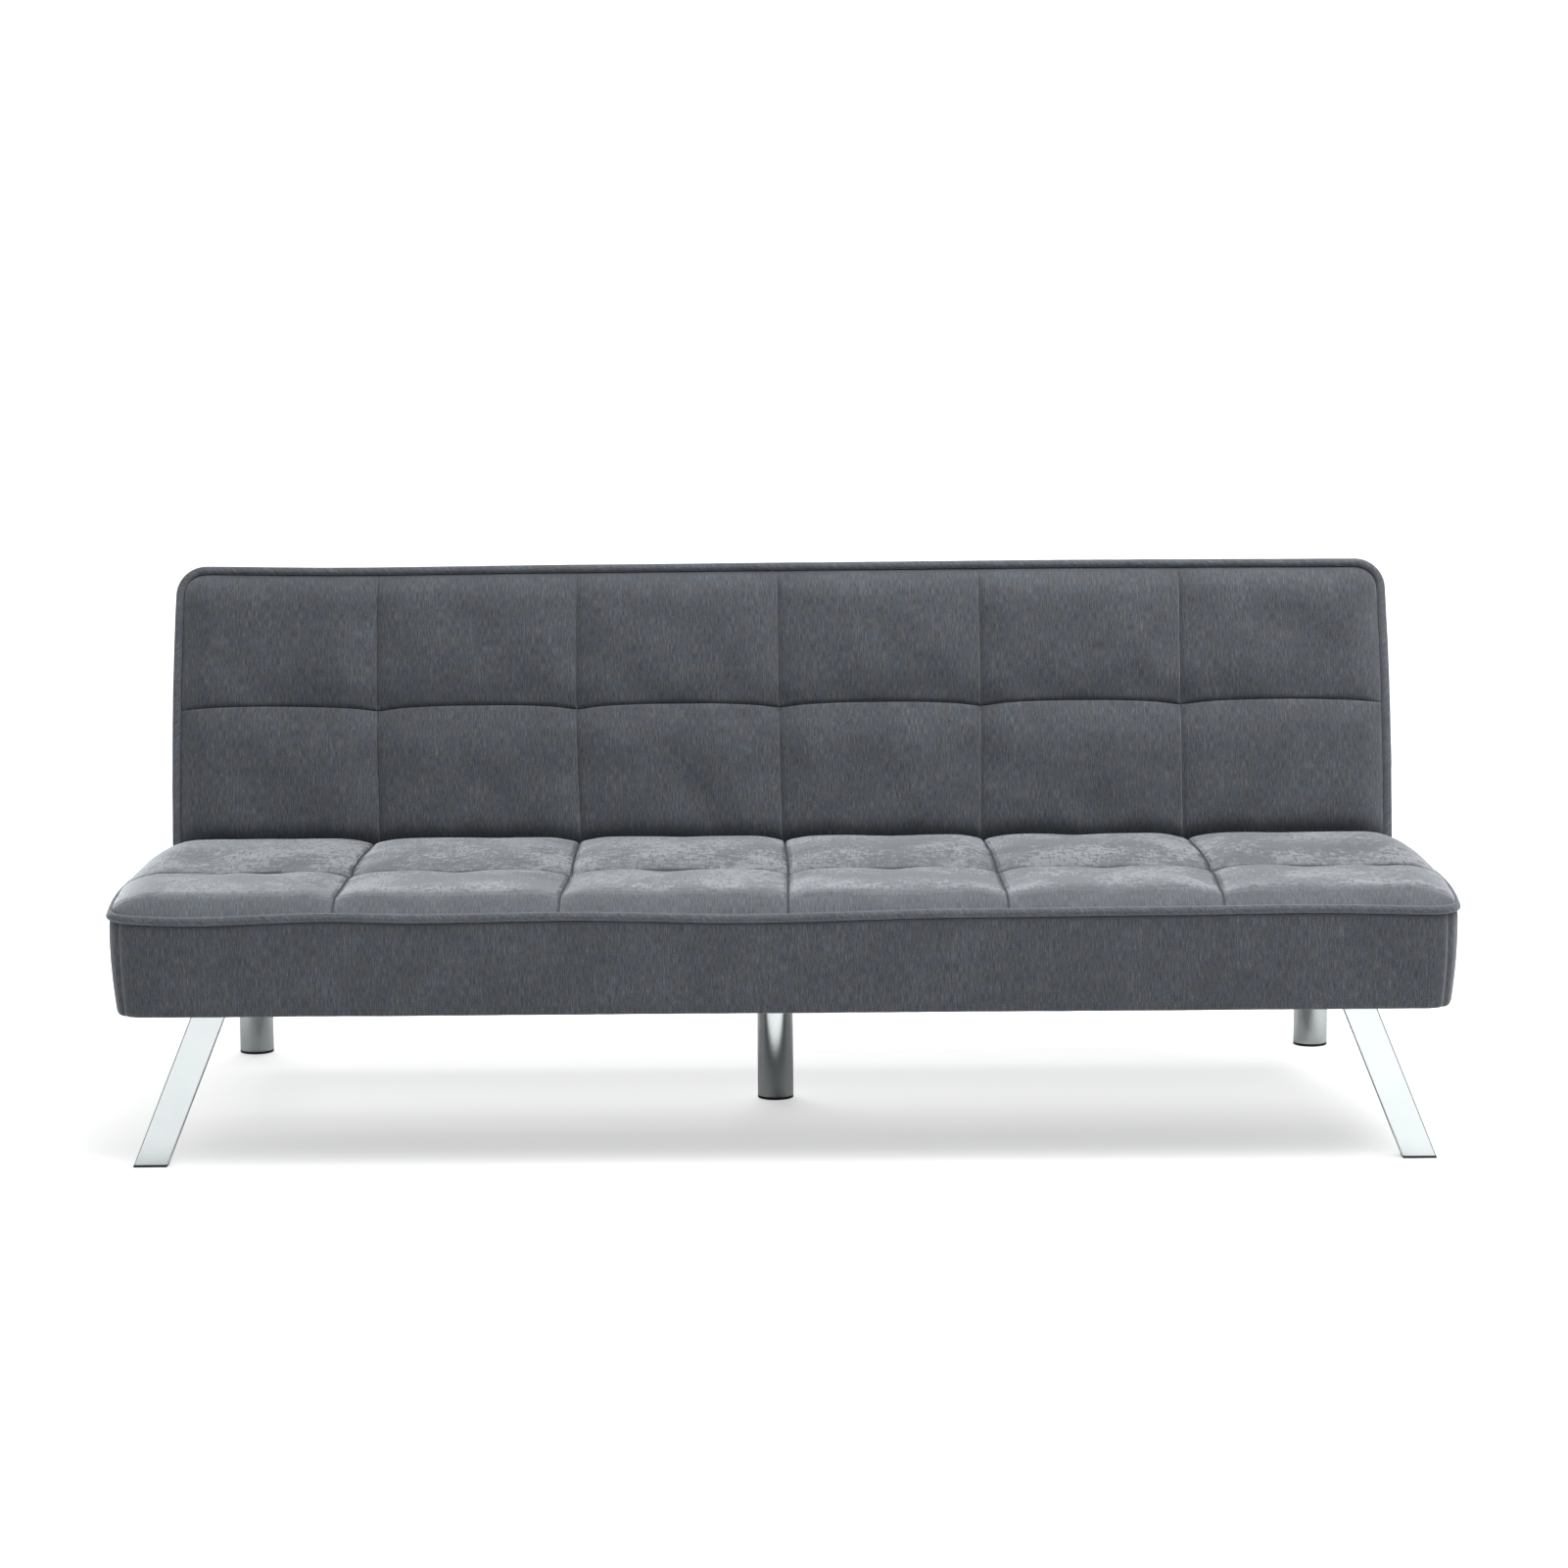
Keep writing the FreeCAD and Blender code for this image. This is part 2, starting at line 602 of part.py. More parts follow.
def pawl_pin():
    y, z = PAWL_PIN
    x = NUT_X - 7.3
    head = rod(x - 1.2, PIVOT_Y + y, PIVOT_Z + z, X_AXIS, 4.5, 1.2)
    return fuse_all([head, rod(x, PIVOT_Y + y, PIVOT_Z + z, X_AXIS, PAWL_PIN_R, RAIL_INNER_X - x)])


def pawl():
    angle = math.radians(PAWL_NOSE_ANGLE)
    nose = (PAWL_NOSE_AT * math.cos(angle), PAWL_NOSE_AT * math.sin(angle))
    bar = link(PAWL_PIN, nose, PAWL_EYE_R, PAWL_NOSE_R, BACK_ARM_X, BACK_ARM_X + ARM)
    y, z = PAWL_PIN
    return bar.cut(rod(BACK_ARM_X, PIVOT_Y + y, PIVOT_Z + z, X_AXIS, PAWL_PIN_R + RUNNING, ARM))


def pawl_spring():
    """A small coil round the pawl pin, beside the pawl."""
    y, z = PAWL_PIN
    coil_r = 4.0
    wire_r = 0.5
    helix = Part.makeHelix(1.2, 4.8, coil_r)
    coil = pipe(Part.Wire(helix.Edges), FreeCAD.Vector(coil_r, 0, 0), Y_AXIS, wire_r)
    coil.rotate(FreeCAD.Vector(0, 0, 0), Y_AXIS, 90)
    coil.translate(FreeCAD.Vector(BACK_ARM_X - 6.2, PIVOT_Y + y, PIVOT_Z + z))
    return coil


# ---- everything, node by node

def base_parts():
    leg_places = [(MIDDLE_LEG_X, MIDDLE_TUBE_Y), (-RAIL_X, REAR_LEG_Y), (RAIL_X, REAR_LEG_Y)]
    stud_holes = [rod(x, y, TUBE_BOTTOM, Z_AXIS, STUD_R + PLAY, TUBE_WALL) for x, y in leg_places]
    bolt_places = [(RAIL_X, y) for y in RAIL_BOLT_YS]
    bolt_holes = [rod(x, y, TUBE_BOTTOM, Z_AXIS, BOLT_R + PLAY, TUBE_HEIGHT) for x, y in bolt_places]
    half = TUBE_WIDTH / 2
    rail = square_tube(RAIL_X - half, RAIL_X + half, RAIL_FRONT_Y, DEPTH / 2, Y_AXIS, bolt_holes + stud_holes[2:])
    nodes = {"base_side_rails": both_sides(rail)}
    inner = RAIL_X - half
    half = CROSS_TUBE_WIDTH / 2
    places = (("base_front_tube", FRONT_TUBE_Y), ("base_middle_tube", MIDDLE_TUBE_Y), ("base_rear_tube", REAR_TUBE_Y))
    for name, y in places:
        nodes[name] = square_tube(-inner, inner, y - half, y + half, X_AXIS, stud_holes[:1])
    nodes["bed_rest_pads"] = Part.Compound([rod(x, REAR_TUBE_Y, TUBE_TOP, Z_AXIS, PAD_R, PAD_HEIGHT)
                                            for x in PAD_XS])
    nodes["middle_leg"] = round_leg(*leg_places[0])
    nodes["rear_legs"] = Part.Compound([round_leg(*place) for place in leg_places[1:]])
    nodes["leg_studs"] = Part.Compound([leg_stud(*place) for place in leg_places])
    nodes["stud_nuts"] = Part.Compound([weld_nut(*place) for place in leg_places])
    nodes["round_foot_caps"] = Part.Compound([round_foot_cap(*place) for place in leg_places])
    nodes["front_legs"] = both_sides(front_leg())
    nodes["front_foot_caps"] = both_sides(front_foot_cap())
    x = front_leg_top_x()
    plate = block(x - PLATE_X / 2, x + PLATE_X / 2, FRONT_LEG_Y - PLATE_Y / 2, FRONT_LEG_Y + PLATE_Y / 2,
                  PLATE_BOTTOM, PLATE_TOP)
    screw_places = front_plate_screw_places()
    plate_holes = [rod(sx, sy, PLATE_BOTTOM, Z_AXIS, SCREW_R + PLAY, PLATE) for sx, sy in screw_places]
    nodes["front_leg_plates"] = both_sides(cut_all(plate, plate_holes))
    nodes["front_leg_screws"] = both_sides(Part.Compound([plate_screw(*place) for place in screw_places]))
    nodes["rail_bolts"] = both_sides(Part.Compound([rail_bolt(*place) for place in bolt_places]))
    nodes["rail_spacers"] = both_sides(Part.Compound([rail_spacer(*place) for place in bolt_places]))
    return nodes


def seat_parts():
    section = (FRONT_Y, SEAT_REAR_Y)
    pocket = hinge_pocket(-1)
    y0, y1 = between_rails(section)
    bearer = block(RAIL_INNER_X - BEARER_WIDTH, RAIL_INNER_X, y0, y1, FRAME_BOTTOM, FRAME_BOTTOM + BEARER_HEIGHT)
    holes = [rod(x, y, FRAME_BOTTOM, Z_AXIS, SCREW_R + RUNNING, BEARER_HEIGHT)
             for x, y in front_plate_screw_places()]
    holes += [rod(RAIL_X, y, FRAME_BOTTOM, Z_AXIS, BOLT_R + RUNNING, BEARER_HEIGHT) for y in RAIL_BOLT_YS]
    x = front_leg_top_x()
    clear = 2.0
    panel_holes = [block(x - PLATE_X / 2 - clear, x + PLATE_X / 2 + clear, FRONT_LEG_Y - PLATE_Y / 2 - clear,
                         FRONT_LEG_Y + PLATE_Y / 2 + clear, BOX_BOTTOM - PANEL, BOX_BOTTOM)]
    panel_holes += [rod(RAIL_X, y, BOX_BOTTOM - PANEL, Z_AXIS, SPACER_R + 1, PANEL) for y in RAIL_BOLT_YS]
    front, rear = end_rails(section)
    springs, clips = spring_set(section)
    return {
        "seat_front_rail": front,
        "seat_rear_rail": rear,
        "seat_side_rails": side_rails(section, side_rail_screw_holes(-1)),
        "seat_cross_rails": cross_rails(section),
        "seat_bearer_boards": both_sides(cut_all(bearer, holes)),
        "seat_corner_blocks": corner_blocks(y0, 1, FRAME_BOTTOM + BEARER_HEIGHT),
        "seat_springs": springs,
        "seat_spring_clips": clips,
        "seat_spring_pad": spring_pad(section, pocket),
        "seat_foam": foam(section, pocket),
        "seat_wadding": wadding(section, pocket),
        "seat_cover": cover(section, pocket),
        "seat_skirt": skirt(section, pocket),
        "seat_piping": piping(section, pocket),
        "seat_dust_cover": cut_all(under_panel(section), panel_holes + [mirrored(h) for h in panel_holes]),
    }


def back_parts():
    section = (BACK_FRONT_Y, BACK_END_Y)
    pocket = hinge_pocket(1)
    bottom, top = end_rails(section)
    springs, clips = spring_set(section)
    label_y = BACK_FRONT_Y + LABEL_FROM
    flat = {
        "back_bottom_rail": bottom,
        "back_top_rail": top,
        "back_side_rails": side_rails(section, side_rail_screw_holes(1)),
        "back_cross_rails": cross_rails(section),
        "back_corner_blocks": corner_blocks(between_rails(section)[1], -1, FRAME_BOTTOM),
        "back_springs": springs,
        "back_spring_clips": clips,
        "back_spring_pad": spring_pad(section, pocket),
        "back_foam": foam(section, pocket),
        "back_wadding": wadding(section, pocket),
        "back_cover": cover(section, pocket),
        "back_skirt": skirt(section, pocket),
        "back_piping": piping(section, pocket),
        "back_rear_panel": under_panel(section),
        "back_label": block(SKIRT_X, SKIRT_X + PANEL, label_y, label_y + LABEL_LONG,
                            SKIRT_TOP - 2 - LABEL_WIDE, SKIRT_TOP - 2),
        "hinge_back_arms": both_sides(back_arm()),
        "hinge_back_screws": both_sides(Part.Compound(hinge_screws(BACK_ARM_X, 1))),
        "hinge_packers": both_sides(back_packer()),
    }
    return {name: at_rest(shape) for name, shape in flat.items()}


def hinge_parts():
    between = RAIL_INNER_X - ARM - WASHER
    washers = Part.Compound([washer(between), washer(NUT_X)])
    return {
        "hinge_seat_arms": both_sides(seat_arm()),
        "hinge_seat_screws": both_sides(Part.Compound(hinge_screws(SEAT_ARM_X, -1))),
        "pivot_bolts": both_sides(pivot_bolt()),
        "pivot_nuts": both_sides(pivot_nut()),
        "pivot_washers": both_sides(washers),
        "pawl_pins": both_sides(pawl_pin()),
        "pawl_springs": both_sides(pawl_spring()),
        "pawl_left": pawl(),
        "pawl_right": mirrored(pawl()),
    }


def main():
    os.makedirs("parts", exist_ok=True)
    nodes = {}
    for group in (base_parts(), seat_parts(), back_parts(), hinge_parts()):
        nodes.update(group)
    whole = FreeCAD.BoundBox()
    for name, shape in nodes.items():
        valid = shape.isValid()
        print(f"{name:22s} solids {len(shape.Solids):3d}  volume {shape.Volume / 1000:10.2f} cm3  valid {valid}")
        whole.add(shape.BoundBox)
        shape.exportStep(os.path.join("parts", name + ".step"))
    print(f"{len(nodes)} nodes, pivot y {PIVOT_Y:.2f} z {PIVOT_Z:.2f}")
    print(f"x {whole.XMin:.2f} {whole.XMax:.2f}  y {whole.YMin:.2f} {whole.YMax:.2f}  z {whole.ZMin:.2f} {whole.ZMax:.2f}")


main()
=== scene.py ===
import json
import math
import random

import bmesh
import bpy
import numpy as np
from mathutils import Matrix, Vector, noise


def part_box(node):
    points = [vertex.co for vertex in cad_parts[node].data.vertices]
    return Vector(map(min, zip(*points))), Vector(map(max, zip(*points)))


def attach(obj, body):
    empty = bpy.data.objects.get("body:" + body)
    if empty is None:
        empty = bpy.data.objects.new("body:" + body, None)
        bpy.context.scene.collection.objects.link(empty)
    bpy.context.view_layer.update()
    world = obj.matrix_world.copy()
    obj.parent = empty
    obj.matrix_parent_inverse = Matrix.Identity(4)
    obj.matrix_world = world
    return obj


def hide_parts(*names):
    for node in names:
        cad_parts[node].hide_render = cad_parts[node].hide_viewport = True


# A click-clack sofa bed. The steel base, the legs, the hinges and the wooden frames are the CAD's own. The soft
# pieces are made here: two tufted cushions, their piping, the padded skirts, the under panels and the label.

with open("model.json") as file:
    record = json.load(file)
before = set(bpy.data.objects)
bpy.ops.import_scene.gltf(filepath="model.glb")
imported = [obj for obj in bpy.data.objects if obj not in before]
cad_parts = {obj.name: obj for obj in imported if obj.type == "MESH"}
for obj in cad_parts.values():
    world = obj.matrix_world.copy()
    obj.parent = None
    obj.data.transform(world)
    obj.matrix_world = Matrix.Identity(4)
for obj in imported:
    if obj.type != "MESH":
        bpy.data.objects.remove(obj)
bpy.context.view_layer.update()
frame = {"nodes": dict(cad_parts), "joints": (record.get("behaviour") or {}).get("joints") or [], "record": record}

# ---- places, worked out from the frame
HINGE = next(j for j in frame["joints"] if j["name"] == "back_recline")
PIVOT = Vector(HINGE["pos_m"])
LEAN = math.radians(HINGE["range_deg"][1])          # from rest to flat
FORWARD = math.radians(-HINGE["range_deg"][0])      # from rest to full forward
STAND = Matrix.Translation(PIVOT) @ Matrix.Rotation(LEAN, 4, "X") @ Matrix.Translation(-PIVOT)
UNFOLD = STAND.inverted()

# ---- sizes, in metres
PLAN_RADIUS = 0.036                # corners of the two boxes in plan
CELLS_ACROSS = 6
CREASE_GAP = 0.0012                # half the space between the cushions with the back full forward
FULLER_BEAD = 0.0010               # the covered cord is a little fuller than its drawn radius
STITCH_INSET = 0.0072              # where the cushion's panel meets the piping
GRID_STEP = 0.0090
GRID_RAMP = (0.0013, 0.0032, 0.0062, 0.0110)
SETTLE_FRAMES = 20
SWELL_PRESSURE = 6.0               # of the stuffing against the cloth
HINGE_REACH = 0.0250               # how far the seat's cushion stays from the pivot beside the hinge arms
PILE_AND_SHADE_SHEENS = (1.0, 0.84, 0.67, 0.48, 0.15)   # sheens of the seat's cloth; all below the first are painted shade on the front roll and seams


def flat_box(node):
    """Lowest and highest corner of a node of the back, laid flat beside the seat."""
    points = [UNFOLD @ v.co for v in frame["nodes"][node].data.vertices]
    return (Vector([min(p[i] for p in points) for i in range(3)]),
            Vector([max(p[i] for p in points) for i in range(3)]))


def box_sizes(prefix, box_of):
    """The levels and edges that the soft pieces of one box are built on."""
    skirt_low, skirt_high = box_of(prefix + "_skirt")
    bead_low, bead_high = box_of(prefix + "_piping")
    cover_high = box_of(prefix + "_cover")[1]
    bead_r = (bead_high.z - bead_low.z) / 2 + FULLER_BEAD
    return {
        "prefix": prefix,
        "half_x": skirt_high.x,
        "y0": skirt_low.y,
        "y1": skirt_high.y,
        "bottom": skirt_low.z,
        "bead_z": (bead_low.z + bead_high.z) / 2,
        "bead_r": bead_r,
        "bead_inset": bead_r - FULLER_BEAD - (bead_high.x - skirt_high.x),
        "crown": cover_high.z,
    }


SEAT = box_sizes("seat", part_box)
BACK = box_sizes("back", flat_box)

# How far each box's fabric swells past its frame, and how its seams wander, read off across the width.
SEAT.update(
    body="base", matrix=Matrix.Identity(4), hinge_side=1,
    bow=(0.0055, 0.0265, 0.0200), face_bulge=0.003, side_bulge=0.0018, lean=0.0125, hinge_radius=PLAN_RADIUS,
    rise=0.0030, far_rise=0.0085, row_split=0.500, roll=(0.050, 0.034, 0.050), roll_power=1.55, side_power=3.0,
    fall=0.048, seam_depth=0.0062, cross_depth=0.0062, knot_depth=0.0055, scallop=0.0050, puff=0.0035,
    valley=0.0034,
    edge_wave=((-0.84, 0.0), (-0.745, -0.0035), (-0.57, 0.0012), (-0.455, -0.0015), (-0.27, 0.0005),
               (-0.05, -0.0042), (0.23, 0.001), (0.49, 0.0023), (0.65, 0.0036), (0.84, 0.0)),
    wander=((-0.007, -0.008, 0.0), (-0.003, 0.001, 0.001), (0.006, 0.007, 0.003), (0.003, 0.002, -0.004),
            (-0.006, 0.002, -0.004)),
)
BACK.update(
    body="backrest", matrix=STAND, hinge_side=-1,
    bow=(0.0010, 0.0045, 0.0015), face_bulge=0.002, side_bulge=0.003, lean=0.0035, hinge_radius=0.014,
    rise=0.0035, far_rise=0.0, row_split=0.505, roll=(0.032, 0.042, 0.040), roll_power=2.4, side_power=2.0,
    fall=0.055, seam_depth=0.0070, cross_depth=0.0090, knot_depth=0.0095, scallop=0.0060, puff=0.0045,
    valley=0.0060,
    edge_wave=((-0.84, -0.003), (-0.6, -0.006), (-0.25, -0.004), (0.05, -0.003), (0.4, -0.002), (0.84, -0.003)),
    wander=((0.003, -0.002, -0.003), (0.001, -0.005, -0.005), (0.0, -0.003, -0.004), (-0.005, -0.002, -0.003),
            (-0.005, -0.004, -0.003)),
)


# ---- small tools

def smooth(t):
    t = np.clip(t, 0.0, 1.0)
    return t * t * (3 - 2 * t)


def eased(x, knots):
    """A smooth line through a few (place, value) knots."""
    places = np.array([k[0] for k in knots])
    values = np.array([k[1] for k in knots])
    index = np.clip(np.searchsorted(places, x) - 1, 0, len(places) - 2)
    share = smooth((x - places[index]) / (places[index + 1] - places[index]))
    return values[index] + (values[index + 1] - values[index]) * share


def clouds(points, size, seed):
    """Soft noise from -1 to 1 at each point, with lumps of about the size given."""
    return np.array([noise.noise(Vector(p) / size + Vector((seed, 0, 0))) for p in points])


def add_object(name, points, faces, uvs=None, round_trip=None, bias=0.0):
    """A mesh object. uvs gives the cloth's own coordinates at each point, in metres. round_trip gives their
    lengths round a closed piece, where the cloth's edge meets itself. bias turns the cloth, in radians."""
    mesh = bpy.data.meshes.new(name)
    mesh.from_pydata([tuple(p) for p in points], [], [tuple(int(i) for i in f) for f in faces])
    if uvs is not None:
        layer = mesh.uv_layers.new(name="weave")
        corner = np.empty(len(mesh.loops), np.int32)
        mesh.loops.foreach_get("vertex_index", corner)
        flat = np.asarray(uvs, float)[corner].reshape(len(faces), -1, 2)
        if round_trip is not None:
            for axis, length in enumerate(round_trip):
                value = flat[:, :, axis]
                torn = (value.max(axis=1) - value.min(axis=1)) > length / 2
                flat[:, :, axis] = np.where(torn[:, None] & (value < length / 2), value + length, value)
        u = flat[:, :, 0] * math.cos(bias) + flat[:, :, 1] * math.sin(bias)
        v = flat[:, :, 1] * math.cos(bias) - flat[:, :, 0] * math.sin(bias)
        layer.data.foreach_set("uv", np.stack([u, v], -1).astype(np.float32).ravel())
    mesh.update()
    piece = bpy.data.objects.new(name, mesh)
    bpy.context.scene.collection.objects.link(piece)
    mesh.polygons.foreach_set("use_smooth", [True] * len(mesh.polygons))
    return piece


def coordinates(mesh):
    co = np.empty(len(mesh.vertices) * 3, np.float32)
    mesh.vertices.foreach_get("co", co)
    return co.reshape(-1, 3).astype(float)


def set_coordinates(mesh, co):
    mesh.vertices.foreach_set("co", co.astype(np.float32).ravel())
    mesh.update()


def edge_ends(mesh):
    """The two vertex numbers of every edge."""
    ends = np.empty(len(mesh.edges) * 2, np.int32)
    mesh.edges.foreach_get("vertices", ends)
    return ends.reshape(-1, 2)


def crease_edges(mesh, chosen, amount):
    """Marks edges to stay sharp when the mesh is smoothed."""
    sharp = mesh.attributes.new("crease_edge", "FLOAT", "EDGE")
    sharp.data.foreach_set("value", np.where(chosen, amount, 0.0).astype(np.float32))


def object_from(mesh, name):
    """An object in the scene from a bmesh, which is freed."""
    data = bpy.data.meshes.new(name)
    mesh.to_mesh(data)
    mesh.free()
    made = bpy.data.objects.new(name, data)
    bpy.context.scene.collection.objects.link(made)
    return made


def apply_modifiers(piece):
    graph = bpy.context.evaluated_depsgraph_get()
    mesh = bpy.data.meshes.new_from_object(piece.evaluated_get(graph), depsgraph=graph)
    piece.modifiers.clear()
    old = piece.data
    piece.data = mesh
    bpy.data.meshes.remove(old)


def corner_radii(box):
    """Plan radii of the box's corners at y0 and at y1. The back's corners beside the crease are tighter."""
    if box["hinge_side"] == 1:
        return PLAN_RADIUS, box["hinge_radius"]
    return box["hinge_radius"], PLAN_RADIUS


def round_corners(box, x, y, reach_x, y0, y1, inset):
    """Bends the square corners of a grid round the box's plan radii."""
    middle = (y0 + y1) / 2
    reach_y = (y1 - y0) / 2
    near, far = corner_radii(box)
    r = np.where(y < middle, near, far) - inset
    a = np.clip((np.abs(x) - (reach_x - r)) / r, 0, 1)
    b = np.clip((np.abs(y - middle) - (reach_y - r)) / r, 0, 1)
    corner = (a > 0) & (b > 0)
    bent_x = np.sign(x) * (reach_x - r + r * a * np.sqrt(1 - b * b / 2))
    bent_y = middle + np.sign(y - middle) * (reach_y - r + r * b * np.sqrt(1 - a * a / 2))
    return np.where(corner, bent_x, x), np.where(corner, bent_y, y)


def outline(box, inset, spacing):
    """Points round a box in plan with their outward directions, drawn in from the skirt's face by inset."""
    near, far = corner_radii(box)
    half_x, y0, y1 = box["half_x"], box["y0"], box["y1"]
    turns = ((half_x - near, y0 + near, -90, near), (half_x - far, y1 - far, 0, far),
             (far - half_x, y1 - far, 90, far), (near - half_x, y0 + near, 180, near))
    arc_steps = 12
    points = []
    normals = []
    for index, (cx, cy, start, r) in enumerate(turns):
        for step in range(arc_steps + 1):
            angle = math.radians(start + 90 * step / arc_steps)
            normal = Vector((math.cos(angle), math.sin(angle), 0))
            points.append(Vector((cx, cy, 0)) + normal * (r - inset))
            normals.append(normal)
        nx, ny, turn, next_r = turns[(index + 1) % 4]
        angle = math.radians(turn)
        normal = Vector((math.cos(angle), math.sin(angle), 0))
        end = Vector((nx, ny, 0)) + normal * (next_r - inset)
        count = max(1, round((end - points[-1]).length / spacing))
        begin = points[-1]
        for step in range(1, count):
            points.append(begin.lerp(end, step / count))
            normals.append(normal)
    return np.array(points), np.array(normals)


def settle(box, co):
    """The shape that stuffing gives to a box: its sides bow out, and its front seam line waves."""
    out = co.copy()
    depth = np.clip((co[:, 1] - box["y0"]) / (box["y1"] - box["y0"]), 0, 1)
    front, middle, rear = box["bow"]
    bow = np.where(depth < 0.55, front + (middle - front) * np.sin(math.pi / 2 * depth / 0.55),
                   rear + (middle - rear) * np.cos(math.pi / 2 * (depth - 0.55) / 0.45))
    height = np.sin(math.pi / 2 * np.clip((co[:, 2] - box["bottom"]) / (box["bead_z"] - box["bottom"]), 0, 1))
    reach = np.clip(np.abs(co[:, 0]) / box["half_x"], 0, 1.02) ** 8
    out[:, 0] += np.sign(co[:, 0]) * bow * (0.35 + 0.65 * height) * reach
    wave = eased(co[:, 0], box["edge_wave"])
    if box["prefix"] == "seat":
        near_front = np.exp(-((co[:, 1] - box["y0"]) / 0.045) ** 2)
        near_bead = np.exp(-((co[:, 2] - box["bead_z"]) / 0.030) ** 2)
        out[:, 2] += wave * near_front * near_bead
    else:
        near = smooth((co[:, 1] - box["y0"]) / (box["y1"] - box["y0"]))
        out[:, 1] += wave * near
    return out


def place(piece, box):
    """Puts a piece that was made flat where it stands at rest."""
    piece.data.transform(box["matrix"])
    piece.data.update()


def keep_clear(box, co):
    """Holds the cushion on its own side of the crease, with room for the back's forward stop."""
    half = (math.pi - LEAN - FORWARD) / 2
    away = -box["hinge_side"]
    normal = np.array([0.0, -away * math.sin(half), math.cos(half)])
    out = co.copy()
    beyond = (co - np.array(PIVOT)) @ normal + CREASE_GAP
    soft = 0.006
    push = np.where(beyond > -soft, (beyond + soft) ** 2 / (4 * soft), 0.0)
    push = np.where(beyond > soft, beyond, push)
    out -= np.outer(push, normal)
    return out


# ---- cushions

def cell_lines(seams):
    """Grid lines from one seam to the next, closer together beside each seam."""
    lines = [seams[0]]
    for low, high in zip(seams, seams[1:]):
        near = [low + r for r in GRID_RAMP]
        far = [high - r for r in reversed(GRID_RAMP)]
        count = round((far[0] - near[-1]) / GRID_STEP)
        middle = [near[-1] + (far[0] - near[-1]) * k / count for k in range(1, count)]
        lines += near + middle + far + [high]
    return np.array(lines)


def roll_off(distance, radius, power):
    """The rise of a padded panel from its sewn edge. A power up to 2 slopes, a higher one swells at once."""
    return 1 - (1 - np.clip(distance / radius, 0, 1)) ** power


def seam_distances(x, y, seams_x, seam_y):
    to_column = np.min(np.abs(x[:, None] - np.array(seams_x)[None, :]), axis=1)
    to_row = np.abs(y - seam_y)
    return to_column, to_row


